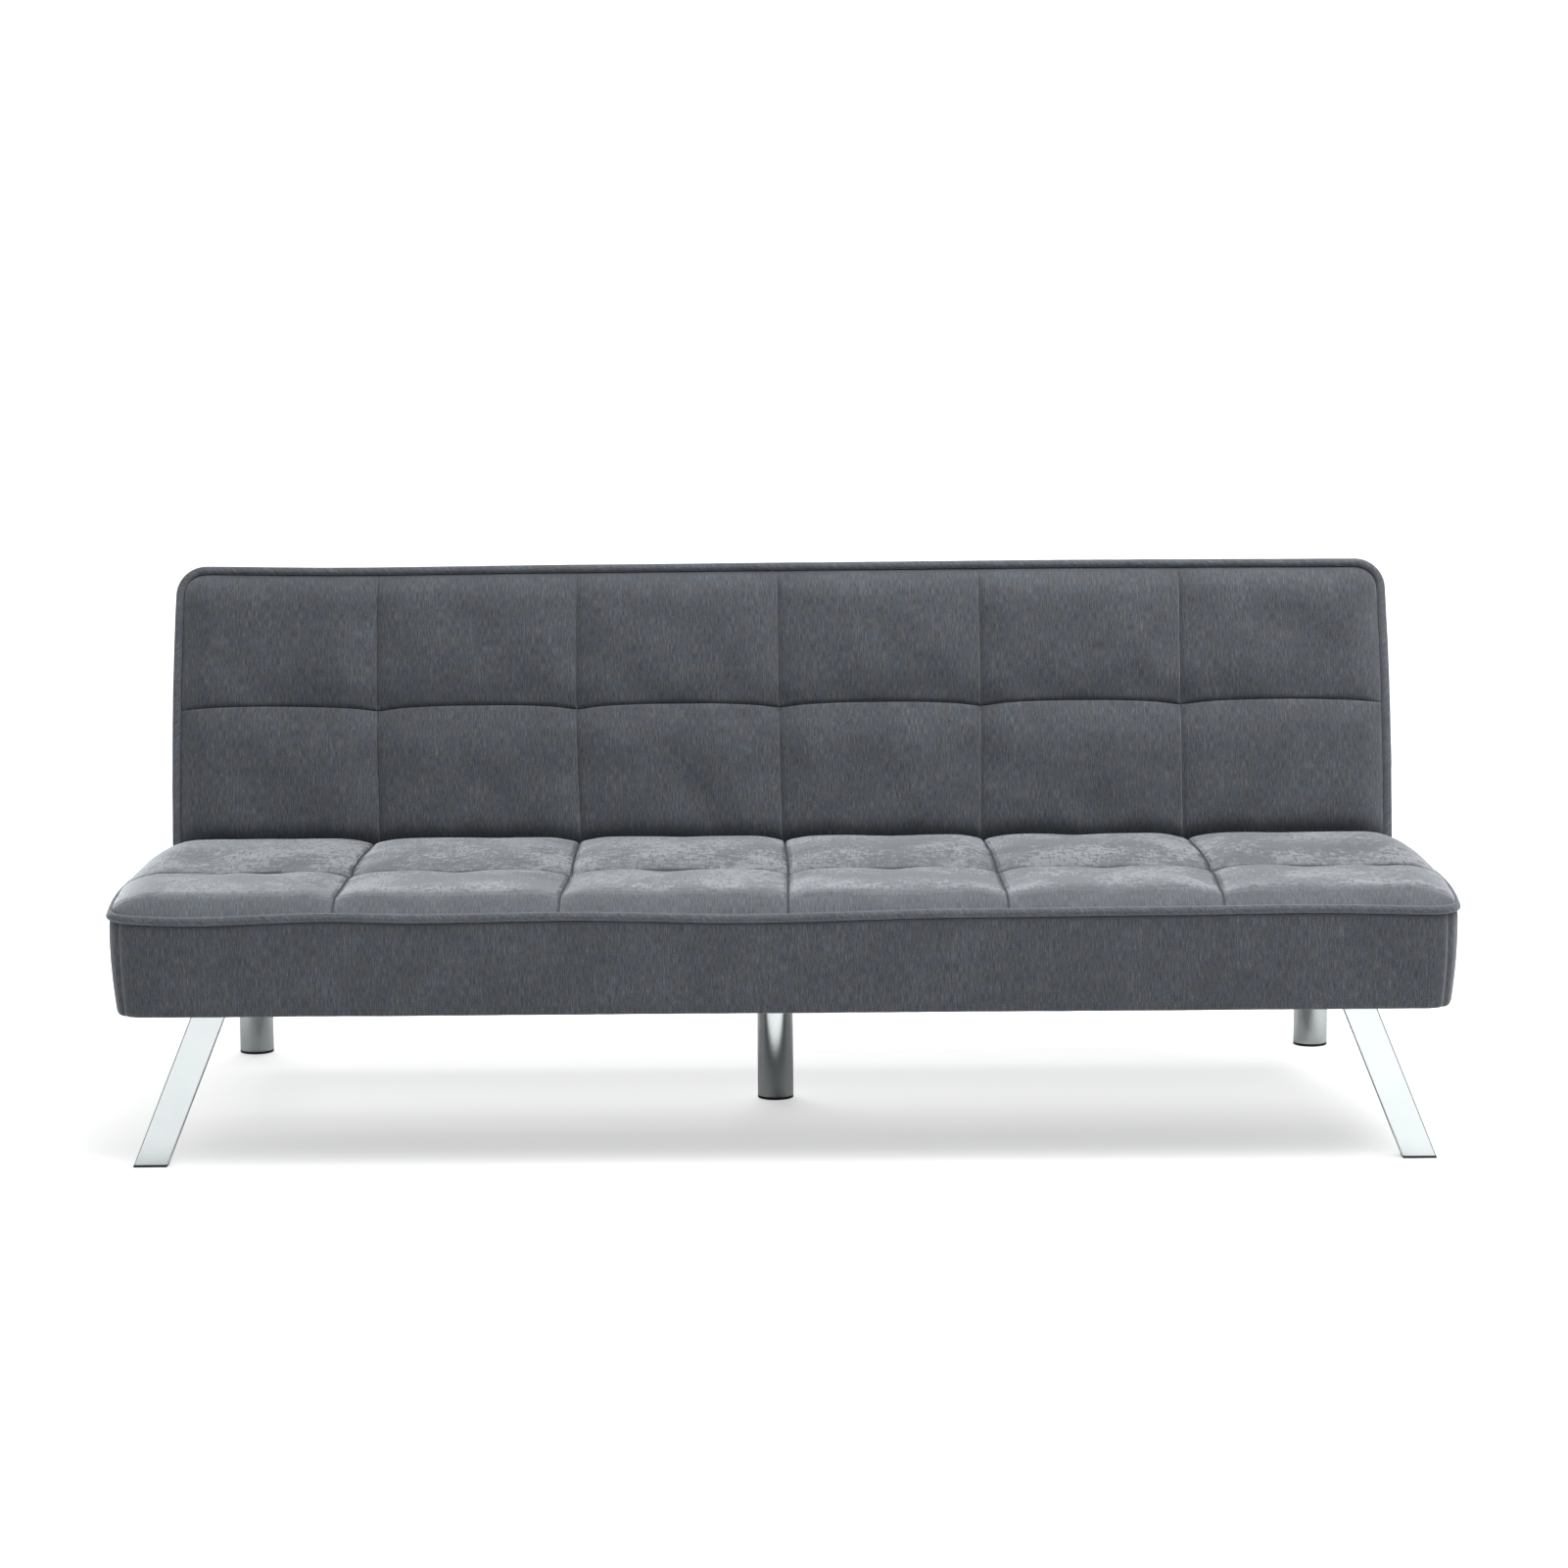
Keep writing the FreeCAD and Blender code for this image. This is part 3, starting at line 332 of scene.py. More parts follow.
def cushion_shell(box):
    """The sewn top panel as a grid, with a little puff; returns the object and its grid facts."""
    inset = STITCH_INSET
    half_x = box["half_x"] - inset
    y0 = box["y0"] + inset
    y1 = box["y1"] - inset
    seam_y = y0 + (y1 - y0) * box["row_split"]
    seams_x = [box["half_x"] * (2 * k / CELLS_ACROSS - 1) for k in range(1, CELLS_ACROSS)]
    xs = cell_lines([-half_x, *seams_x, half_x])
    ys = cell_lines([y0, seam_y, y1])
    gx, gy = np.meshgrid(xs, ys)
    x = gx.ravel()
    y = gy.ravel()
    to_column, to_row = seam_distances(x, y, seams_x, seam_y)
    side = roll_off(half_x - np.abs(x), box["roll"][2], box["side_power"])
    low = roll_off(y - y0, box["roll"][0], box["roll_power"])
    high = roll_off(y1 - y, box["roll"][1], 2.6)
    edge = side * low * high
    column_puff = 1 - (1 - np.clip(to_column / box["fall"], 0, 1)) ** 2.2
    row_puff = 1 - (1 - np.clip(to_row / box["fall"], 0, 1)) ** 2.2
    share = (y - y0) / (y1 - y0)
    rise = box["rise"] + box["far_rise"] * smooth((share - 0.42) / 0.35)
    crown = box["crown"] + rise - box["puff"] - box["bead_z"]
    knot = np.exp(-(to_column / 0.023) ** 2) * np.exp(-(to_row / 0.023) ** 2)
    drop = box["seam_depth"] * (1 - column_puff) + box["cross_depth"] * (1 - row_puff) * column_puff
    drop = drop + box["knot_depth"] * knot
    z = box["bead_z"] - 0.0012 + (crown + 0.0012 - drop) * edge

    # the seams wander a little, and the cross seam arches in every cell
    nominal = np.array([-half_x, *seams_x, half_x])
    moved_x = np.empty_like(x)
    for row in range(len(ys)):
        rows = slice(row * len(xs), (row + 1) * len(xs))
        t = share[row * len(xs)]
        shifts = [eased(np.array([t]), ((0.0, w[0]), (0.5, w[1]), (1.0, w[2])))[0] for w in box["wander"]]
        moved_x[rows] = np.interp(x[rows], nominal, nominal + np.array([0.0, *shifts, 0.0]))
    cell = (x + box["half_x"]) / (2 * box["half_x"]) * CELLS_ACROSS
    arch = 1 - np.abs(2 * (cell % 1.0) - 1) ** 2.6
    moved_y = y + box["scallop"] * (arch - 0.5) * (1 - np.abs(2 * share - 1))

    # the padding leans out over the piping at the two ends
    lean = np.sin(math.pi * np.clip(side, 0, 1) ** 0.8) * (half_x - np.abs(x) < box["roll"][2])
    moved_x = moved_x + np.sign(moved_x) * box["lean"] * lean * low ** 0.7 * high ** 0.7

    moved_x, moved_y = round_corners(box, moved_x, moved_y, half_x, y0, y1, inset)

    columns = len(xs)
    rows = len(ys)
    index = np.arange(columns * rows).reshape(rows, columns)
    faces = np.stack([index[:-1, :-1], index[:-1, 1:], index[1:, 1:], index[1:, :-1]], -1).reshape(-1, 4)
    uvs = np.stack([moved_x, moved_y], -1)
    co = settle(box, np.stack([moved_x, moved_y, z], -1))
    piece = add_object(box["prefix"] + "_cushion", co, faces, uvs)
    rim = np.zeros((rows, columns), bool)
    rim[:2] = rim[-2:] = True
    rim[:, :2] = rim[:, -2:] = True
    sewn = (to_column < 1e-6) | (to_row < 1e-6)
    to_rim = np.minimum(half_x - np.abs(x), np.minimum(y - y0, y1 - y))
    past_row = np.where(y > seam_y, to_row - 0.0028, to_row)
    to_seam = np.minimum(np.minimum(to_column, past_row), to_rim)
    # the distances that pick the seat's cloth copies, whose lower sheens are painted shade
    pile = piece.data.attributes.new("pile", "FLOAT_VECTOR", "POINT")
    pile.data.foreach_set("vector", np.stack([x, y - box["y0"], to_seam], -1).astype(np.float32).ravel())
    return piece, {"x": x, "y": y, "held": rim.ravel() | sewn, "to_column": to_column, "to_row": to_row,
                   "edge": edge, "shape": (rows, columns)}


def inflate(piece, facts, limit, pressure):
    """Lets the panel swell between its seams as cloth, and eases every point's travel towards a limit."""
    start = coordinates(piece.data)
    held = facts["held"]
    group = piece.vertex_groups.new(name="held")
    group.add([int(i) for i in np.nonzero(held)[0]], 1.0, "REPLACE")
    cloth = piece.modifiers.new("cloth", "CLOTH")
    settings = cloth.settings
    settings.vertex_group_mass = "held"
    settings.quality = 6
    settings.mass = 0.25
    settings.tension_stiffness = 12
    settings.compression_stiffness = 10
    settings.shear_stiffness = 5
    settings.bending_stiffness = 1.2
    settings.use_pressure = True
    settings.uniform_pressure_force = pressure
    settings.pressure_factor = 0
    settings.shrink_min = -0.012
    settings.effector_weights.gravity = 0
    cloth.collision_settings.use_collision = False
    cloth.point_cache.frame_start = 1
    cloth.point_cache.frame_end = SETTLE_FRAMES
    scene = bpy.context.scene
    for number in range(1, SETTLE_FRAMES + 1):
        scene.frame_set(number)
    graph = bpy.context.evaluated_depsgraph_get()
    swollen = coordinates(piece.evaluated_get(graph).data)
    piece.modifiers.clear()
    piece.vertex_groups.clear()
    scene.frame_set(1)
    travel = swollen - start
    length = np.linalg.norm(travel, axis=1, keepdims=True)
    print(piece.name, "swelled by up to", round(float(length.max()) * 1000, 1), "mm, mean",
          round(float(length.mean()) * 1000, 1))
    travel *= limit * np.tanh(length / limit) / np.maximum(length, 1e-9)
    rows, columns = facts["shape"]
    sheet = travel.reshape(rows, columns, 3)
    fixed = held.reshape(rows, columns)
    for _ in range(6):
        padded = np.pad(sheet, ((1, 1), (1, 1), (0, 0)), "edge")
        around = (padded[:-2, 1:-1] + padded[2:, 1:-1] + padded[1:-1, :-2] + padded[1:-1, 2:]) / 4
        sheet = np.where(fixed[:, :, None], sheet, 0.4 * sheet + 0.6 * around)
    set_coordinates(piece.data, start + sheet.reshape(-1, 3))


def sew(piece, facts, depth):
    """Draws the thread lines in: a crisp valley on each seam, with small puckers beside it."""
    co = coordinates(piece.data)
    x, y = facts["x"], facts["y"]
    column = np.exp(-facts["to_column"] / 0.0015)
    row = np.exp(-facts["to_row"] / 0.0015)
    co[:, 2] -= depth * np.maximum(column, row) * facts["edge"]
    beside_column = np.exp(-((facts["to_column"] - 0.007) / 0.006) ** 2)
    beside_row = np.exp(-((facts["to_row"] - 0.007) / 0.006) ** 2)
    pucker_x = clouds(np.stack([x * 0, y, x // 0.14], -1), 0.011, 3)
    pucker_y = clouds(np.stack([x, y * 0, y // 0.13], -1), 0.011, 5)
    co[:, 2] += 0.0007 * (pucker_x * beside_column + pucker_y * beside_row) * facts["edge"]
    uneven = clouds(np.stack([x, y, y * 0], -1), 0.070, 9)
    co[:, 2] += 0.0004 * uneven * facts["edge"]
    set_coordinates(piece.data, co)


def keep_sharp(piece, facts):
    """Marks the seams' edges, so that smoothing leaves their valleys crisp."""
    on_column = facts["to_column"] < 1e-6
    on_row = facts["to_row"] < 1e-6
    ends = edge_ends(piece.data)
    crease_edges(piece.data, on_column[ends].all(axis=1) | on_row[ends].all(axis=1), 0.8)


def subdivide(piece):
    modifier = piece.modifiers.new("finer", "SUBSURF")
    modifier.levels = 1
    modifier.render_levels = 1
    modifier.boundary_smooth = "PRESERVE_CORNERS"
    apply_modifiers(piece)


def lay_pile_and_shade(piece):
    """Gives each seat face a sheen: full in the cells; lower, as painted shade, over the front roll and seams."""
    mesh = piece.data
    pile = np.empty(len(mesh.vertices) * 3, np.float32)
    mesh.attributes["pile"].data.foreach_get("vector", pile)
    corner = np.empty(len(mesh.loops), np.int32)
    mesh.loops.foreach_get("vertex_index", corner)
    x, front, seam = pile.reshape(-1, 3)[corner].reshape(len(mesh.polygons), 4, 3).mean(axis=1).T
    front = front + 0.007 * clouds(np.stack([x, front * 0.5, x * 0], -1), 0.060, 51)
    # painted shade: less sheen over the front roll and beside the seams, and darker cloth in the seam folds
    over_edge = np.digitize(-front, (-0.0620, -0.0530, -0.0440))
    near_seam = np.digitize(-seam, (-0.0070, -0.0055, -0.0040, -0.0024))
    mesh.polygons.foreach_set("material_index", np.maximum(over_edge, near_seam))


def clear_hinges(co):
    """Scoops the seat's cushion off the turning hinge arms, near its rear corners."""
    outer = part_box("hinge_back_arms")[1].x
    ramp = 0.012
    reach_x = np.abs(co[:, 0])
    across = smooth((reach_x - outer + 0.046) / ramp) * smooth((outer + 0.014 - reach_x) / ramp)
    offset = co[:, 1:] - np.array(PIVOT)[1:]
    distance = np.linalg.norm(offset, axis=1)
    push = np.clip(HINGE_REACH - distance, 0, None) * across / np.maximum(distance, 1e-6)
    out = co.copy()
    out[:, 1:] += offset * push[:, None]
    return out


def close_under(piece, box):
    """Turns the panel's edge down behind the piping, and closes the cushion underneath."""
    mesh = bmesh.new()
    mesh.from_mesh(piece.data)
    rim = [e for e in mesh.edges if e.is_boundary]
    made = bmesh.ops.extrude_edge_only(mesh, edges=rim)["geom"]
    lower = [g for g in made if isinstance(g, bmesh.types.BMVert)]
    level = box["bead_z"] - box["bead_r"] + 0.0012
    for vertex in lower:
        vertex.co.z = level
        vertex.co.x *= 1 - 0.001 / box["half_x"]
    rim = [g for g in made if isinstance(g, bmesh.types.BMEdge) and g.is_boundary]
    bmesh.ops.contextual_create(mesh, geom=rim)
    bmesh.ops.recalc_face_normals(mesh, faces=mesh.faces)
    mesh.to_mesh(piece.data)
    mesh.free()
    piece.data.polygons.foreach_set("use_smooth", [len(p.vertices) <= 4 for p in piece.data.polygons])


def hinge_slots(box, top):
    """Two cutters up to a level, where the click-clack hinges go into a box. Each is a little wider than the
    hinge from nut to bolt head, and reaches below it and past both ends of the arms' travel."""
    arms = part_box("hinge_back_arms")[1].x
    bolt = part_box("pivot_bolts")[1].x
    nut = 2 * arms - bolt - 0.010
    low_x, high_x = min(nut, arms - 0.016), bolt + 0.002
    side = -box["hinge_side"]
    ends = sorted((PIVOT.y - side * 0.02, PIVOT.y + side * 0.07))
    cutters = []
    for way in (-1, 1):
        mesh = bmesh.new()
        bmesh.ops.create_cube(mesh, size=1.0)
        size = Vector((high_x - low_x, ends[1] - ends[0], top - PIVOT.z + 0.045))
        centre = Vector((way * (low_x + high_x) / 2, sum(ends) / 2, top - size.z / 2))
        for vertex in mesh.verts:
            vertex.co = Vector(c * s for c, s in zip(vertex.co, size)) + centre
        cutters.append(object_from(mesh, "slot_cutter"))
    return cutters


def cut_hinge_slots(piece, box, top):
    for cutter in hinge_slots(box, top):
        modifier = piece.modifiers.new("slot", "BOOLEAN")
        modifier.operation = "DIFFERENCE"
        modifier.solver = "EXACT"
        modifier.object = cutter
        apply_modifiers(piece)
        bpy.data.objects.remove(cutter)


def make_cushion(box, cloths):
    """A tufted cushion: sewn, swollen as cloth, smoothed, closed underneath and cut round the hinges."""
    piece, facts = cushion_shell(box)
    for cloth in cloths:
        piece.data.materials.append(cloth)
    inflate(piece, facts, box["puff"] * 1.4, SWELL_PRESSURE)
    sew(piece, facts, box["valley"])
    keep_sharp(piece, facts)
    subdivide(piece)
    if len(cloths) > 1:
        lay_pile_and_shade(piece)
    piece.data.attributes.remove(piece.data.attributes["pile"])
    set_coordinates(piece.data, keep_clear(box, coordinates(piece.data)))
    close_under(piece, box)
    if box["hinge_side"] == 1:
        set_coordinates(piece.data, clear_hinges(coordinates(piece.data)))
    cut_hinge_slots(piece, box, box["bead_z"] + 0.0012)
    place(piece, box)
    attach(piece, box["body"])
    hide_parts(box["prefix"] + "_cover", box["prefix"] + "_foam")
    return piece


# ---- piping

def make_piping(box):
    """The covered cord sewn round the box between the cushion and the skirt."""
    spacing = 0.006
    centre, normals = outline(box, box["bead_inset"], spacing)
    centre[:, 2] = box["bead_z"]
    around = 14
    count = len(centre)
    step = np.linalg.norm(np.roll(centre, -1, 0) - centre, axis=1)
    along = np.concatenate([[0], np.cumsum(step)[:-1]])
    rings = []
    uvs = []
    lumps = clouds(np.stack([along, along * 0, along * 0], -1), 0.035, 21)
    radius = box["bead_r"] * (1 + 0.035 * lumps)
    for k in range(around):
        angle = 2 * math.pi * k / around
        offset = normals * (math.cos(angle) * radius)[:, None]
        offset[:, 2] = math.sin(angle) * radius
        rings.append(centre + offset)
        uvs.append(np.stack([box["bead_r"] * angle + 0 * along, along], -1))
    co = settle(box, np.array(rings).transpose(1, 0, 2).reshape(-1, 3))
    uv = np.array(uvs).transpose(1, 0, 2).reshape(-1, 2)
    faces = []
    for i in range(count):
        j = (i + 1) % count
        for k in range(around):
            m = (k + 1) % around
            faces.append((i * around + k, j * around + k, j * around + m, i * around + m))
    girth = 2 * math.pi * box["bead_r"]
    piece = add_object(box["prefix"] + "_piping_cord", co, faces, uv, (girth, float(step.sum())), math.pi / 4)
    cut_hinge_slots(piece, box, PIVOT.z + 0.0104)
    place(piece, box)
    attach(piece, box["body"])
    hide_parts(box["prefix"] + "_piping")
    return piece


# ---- skirts

def skirt_section(box):
    """The skirt's cross-section: inset from the box's face, level, and how much of the bulge reaches there."""
    top = box["bead_z"] - box["bead_r"]
    low = box["bottom"]
    tall = top - low
    outer = [(0.0030, top + 0.0020, 0.0), (0.0006, top + 0.0002, 0.25)]
    steps = 9
    for step in range(steps + 1):
        t = step / steps
        level = top - 0.004 - (tall - 0.012) * t
        outer.append((0.0008 * t ** 3, level, math.sin(math.pi * (0.16 + 0.70 * t)) ** 0.8))
    corner = 0.0036
    start = outer[-1]
    outer.append((start[0], low + corner + 0.0012, start[2] * 0.7))
    start = outer[-1]
    for step in range(0, 6):
        angle = math.pi / 2 * step / 5
        outer.append((start[0] + corner * (1 - math.cos(angle)), low + corner * (1 - math.sin(angle)), 0.0))
    outer += [(start[0] + corner + 0.002, low, 0.0), (0.020, low, 0.0), (0.026, low + 0.0001, 0.0)]
    inner = [(0.0262, low + 0.0012, 0.0), (0.026, low + 0.0016, 0.0), (0.0135, low + 0.0016, 0.0),
             (0.0114, low + 0.003, 0.0), (0.0114, top - 0.05, 0.0), (0.0114, top, 0.0),
             (0.0100, top + 0.002, 0.0)]
    return outer + inner, len(outer)


def crease_corner_seams(piece, corner_turn, rings, outer_count):
    """Keeps the upright seam at each corner sharp when the band is smoothed."""
    ends = edge_ends(piece.data)
    on_face = (ends % rings < outer_count - 2).all(axis=1)
    crease_edges(piece.data, corner_turn[ends // rings].all(axis=1) & on_face, 1.0)


def make_skirt(box):
    """The padded band below the piping, turned in under the frame, with a sewn seam at each corner."""
    section, outer_count = skirt_section(box)
    spacing = 0.012
    base, normals = outline(box, 0.0, spacing)
    count = len(base)
    corner_turn = np.abs(np.abs(normals[:, 0]) - math.sqrt(0.5)) < 1e-3
    face_share = np.abs(normals[:, 1]) ** 2
    bulge = box["face_bulge"] * face_share + box["side_bulge"] * (1 - face_share)
    if box["hinge_side"] == 1:
        hinge_face = normals[:, 1] > 0.5
    else:
        hinge_face = normals[:, 1] < -0.5
    bulge = np.where(hinge_face, 0.001, bulge)
    drape = clouds(base * np.array([1, 1, 0]), 0.11, 31)
    ripple = clouds(base * np.array([1, 1, 0]), 0.030, 37)
    step = np.linalg.norm(np.roll(base, -1, 0) - base, axis=1)
    along = np.concatenate([[0], np.cumsum(step)[:-1]])
    down = 0.0
    points = []
    uvs = []
    for k, (inset, level, share) in enumerate(section):
        if k:
            down += math.hypot(inset - section[k - 1][0], level - section[k - 1][1])
        out = bulge * share + (0.0010 * drape + 0.0004 * ripple) * (share > 0)
        groove = np.where(corner_turn & (k < outer_count - 2), 0.0030, 0.0)
        ring = base + normals * (out - inset - groove)[:, None]
        ring[:, 2] = level
        if k < outer_count:
            low_share = 1 - smooth(np.array([(level - box["bottom"]) / 0.03]))[0]
            ring[:, 2] += low_share * (0.0006 * drape + 0.0005 * ripple)
        points.append(ring)
        uvs.append(np.stack([along, np.full(count, -down)], -1))
    rings = len(section)
    co = settle(box, np.array(points).transpose(1, 0, 2).reshape(-1, 3))
    uv = np.array(uvs).transpose(1, 0, 2).reshape(-1, 2)
    faces = []
    for i in range(count):
        j = (i + 1) % count
        for k in range(rings):
            m = (k + 1) % rings
            faces.append((i * rings + k, i * rings + m, j * rings + m, j * rings + k))
    uv[:, 1] -= uv[:, 1].min()
    piece = add_object(box["prefix"] + "_skirt_band", co, faces, uv, (float(step.sum()), 9.0))
    crease_corner_seams(piece, corner_turn, rings, outer_count)
    subdivide(piece)
    cut_hinge_slots(piece, box, PIVOT.z + 0.0104)
    place(piece, box)
    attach(piece, box["body"])
    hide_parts(box["prefix"] + "_skirt", box["prefix"] + "_wadding")
    return piece


# ---- under panels and label

def make_under_panel(box, node, box_of):
    """The black cloth stapled over the frame's open side, with a turned edge and small pulls at the staples."""
    low, high = box_of(node)
    pitch = 0.012
    columns = round((high.x - low.x) / pitch) + 1
    rows = round((high.y - low.y) / pitch) + 1
    gx, gy = np.meshgrid(np.linspace(low.x, high.x, columns), np.linspace(low.y, high.y, rows))
    x = gx.ravel()
    y = gy.ravel()
    x, y = round_corners(box, x, y, high.x, low.y, high.y, 0.008)
    edge = np.minimum(high.x - np.abs(x), np.minimum(y - low.y, high.y - y))
    inside = smooth((edge - 0.012) / 0.05)
    slack = 0.5 + 0.5 * clouds(np.stack([x, y, y * 0], -1), 0.17, 41)
    pulls = np.abs(np.sin(math.pi * (x + y) / 0.07)) * np.exp(-edge / 0.022)
    hem = np.where(edge < 0.013, 0.0, 0.0004)
    z = low.z + 0.0002 + hem + 0.0016 * slack * inside + 0.0003 * pulls
    index = np.arange(columns * rows).reshape(rows, columns)
    faces = np.stack([index[:-1, :-1], index[1:, :-1], index[1:, 1:], index[:-1, 1:]], -1).reshape(-1, 4)
    piece = add_object(node + "_cloth", np.stack([x, y, z], -1), faces, np.stack([x, y], -1))
    place(piece, box)
    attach(piece, box["body"])
    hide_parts(node)
    staples = make_staples(box, node, low, high)
    return piece, staples


def make_staples(box, node, low, high):
    """Wire staples along the turned edge, each lying a little off true."""
    chance = random.Random(11)
    mesh = bmesh.new()
    inset = 0.0065
    corner = 0.035
    spots = []
    for side in (-1, 1):
        count = round((high.x - low.x - 2 * corner) / 0.070)
        for k in range(count + 1):
            spots.append((low.x + corner + (high.x - low.x - 2 * corner) * k / count,
                          low.y + inset if side < 0 else high.y - inset, 0.0))
        count = round((high.y - low.y - 2 * corner) / 0.060)
        for k in range(count + 1):
            spots.append((low.x + inset if side < 0 else high.x - inset,
                          low.y + corner + (high.y - low.y - 2 * corner) * k / count, math.pi / 2))
    wire = 0.0005
    half = 0.0052
    bend = 0.0009
    line = ((-half, 0.0012), (-half, bend * 0.2), (-half + bend * 0.3, -0.0001), (-half + bend, -0.0003),
            (half - bend, -0.0003), (half - bend * 0.3, -0.0001), (half, bend * 0.2), (half, 0.0012))
    for cx, cy, turn in spots:
        turn += chance.uniform(-0.18, 0.18)
        cx += chance.uniform(-0.004, 0.004) * (math.cos(turn) ** 2)
        cy += chance.uniform(-0.004, 0.004) * (math.sin(turn) ** 2)
        rings = []
        for along, level in line:
            ring = []
            for k in range(6):
                angle = math.pi * k / 3
                u = along + wire * 0.2 * math.cos(angle)
                v = wire * math.cos(angle)
                ring.append(mesh.verts.new((cx + u * math.cos(turn) - v * math.sin(turn),
                                            cy + u * math.sin(turn) + v * math.cos(turn),
                                            low.z + level + wire * 0.6 * math.sin(angle))))
            rings.append(ring)
        for first, second in zip(rings, rings[1:]):
            for k in range(6):
                mesh.faces.new((first[k], second[k], second[(k + 1) % 6], first[(k + 1) % 6]))
        mesh.faces.new(reversed(rings[0]))
        mesh.faces.new(rings[-1])
    bmesh.ops.recalc_face_normals(mesh, faces=mesh.faces)
    staples = object_from(mesh, node + "_staples")
    staples.data.polygons.foreach_set("use_smooth", [True] * len(staples.data.polygons))
    place(staples, box)
    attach(staples, box["body"])
    return staples


def make_label():
    """A blank tape label, folded double and caught in the seam under the piping at one end of the back."""
    low, high = flat_box("back_label")
    out = 0.0062
    fold = 0.0007
    level = high.z + 0.0005
    path = [(0.0, fold), (out * 0.5, fold * 1.1), (out - fold, fold)]
    path += [(out - fold + fold * math.sin(a), fold * math.cos(a)) for a in (0.6, 1.2, math.pi / 2, 1.95, 2.55)]
    path += [(out - fold, -fold), (out * 0.5, -fold * 0.8), (0.0, -fold)]
    run = np.concatenate([[0], np.cumsum([math.dist(p, q) for p, q in zip(path, path[1:])])])
    rows = 18
    points = []
    uvs = []
    for row in range(rows):
        share = row / (rows - 1)
        y = low.y + (high.y - low.y) * share
        curl = 0.0008 * math.sin(2.6 * share + 0.4)
        for (dx, dz), length in zip(path, run):
            points.append((BACK["half_x"] + dx - 0.0002, y + 0.0004 * dx / out, level + dz + curl * dx / out))
            uvs.append((y, length))
    co = settle(BACK, np.array(points))
    columns = len(path)
    faces = [(r * columns + c, r * columns + c + 1, (r + 1) * columns + c + 1, (r + 1) * columns + c)
             for r in range(rows - 1) for c in range(columns - 1)]
    piece = add_object("back_label_tape", co, faces, uvs)
    place(piece, BACK)
    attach(piece, "backrest")
    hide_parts("back_label")
    return piece


# ---- materials

def new_material(name):
    material = bpy.data.materials.new(name)
    material.use_nodes = True
    nodes = material.node_tree.nodes
    nodes.clear()
    output = nodes.new("ShaderNodeOutputMaterial")
    shader = nodes.new("ShaderNodeBsdfPrincipled")
    material.node_tree.links.new(shader.outputs["BSDF"], output.inputs["Surface"])
    return material, shader


class Graph:
    """Short names for the node calls that the materials and the world repeat."""

    def __init__(self, owner):
        self.tree = owner.node_tree

    def node(self, kind, **values):
        made = self.tree.nodes.new(kind)
        for key, value in values.items():
            setattr(made, key, value)
        return made

    def link(self, source, target):
        self.tree.links.new(source, target)

    def stretched(self, kind, scale):
        """Texture coordinates, scaled."""
        coordinate = self.node("ShaderNodeTexCoord")
        mapping = self.node("ShaderNodeMapping")
        mapping.inputs["Scale"].default_value = scale
        self.link(coordinate.outputs[kind], mapping.inputs["Vector"])
        return mapping.outputs["Vector"]

    def noise(self, vector, scale, detail=2.0, roughness=0.5, distortion=0.0):
        texture = self.node("ShaderNodeTexNoise")
        texture.inputs["Scale"].default_value = scale
        texture.inputs["Detail"].default_value = detail
        texture.inputs["Roughness"].default_value = roughness
        texture.inputs["Distortion"].default_value = distortion
        self.link(vector, texture.inputs["Vector"])
        return texture.outputs["Fac"]

    def math(self, operation, first, second=None):
        made = self.node("ShaderNodeMath", operation=operation)
        for socket, value in zip(made.inputs, (first, second)):
            if value is None:
                continue
            if isinstance(value, (int, float)):
                socket.default_value = value
            else:
                self.link(value, socket)
        return made.outputs["Value"]

    def span(self, value, low, high, to_low=0.0, to_high=1.0, kind="SMOOTHSTEP"):
        made = self.node("ShaderNodeMapRange", interpolation_type=kind)
        for socket, number in zip(("From Min", "From Max", "To Min", "To Max"), (low, high, to_low, to_high)):
            made.inputs[socket].default_value = number
        self.link(value, made.inputs["Value"])
        return made.outputs["Result"]

    def mix(self, share, first, second, blend="MIX"):
        made = self.node("ShaderNodeMix", data_type="RGBA", blend_type=blend)
        if isinstance(share, (int, float)):
            made.inputs["Factor"].default_value = share
        else:
            self.link(share, made.inputs["Factor"])
        for socket, value in zip((made.inputs[6], made.inputs[7]), (first, second)):
            if isinstance(value, tuple):
                socket.default_value = (*value, 1.0)
            else:
                self.link(value, socket)
        return made.outputs[2]

    def bump(self, height, strength, distance, normal=None):
        made = self.node("ShaderNodeBump")
        made.inputs["Strength"].default_value = strength
        made.inputs["Distance"].default_value = distance
        self.link(height, made.inputs["Height"])
        if normal is not None:
            self.link(normal, made.inputs["Normal"])
        return made.outputs["Normal"]


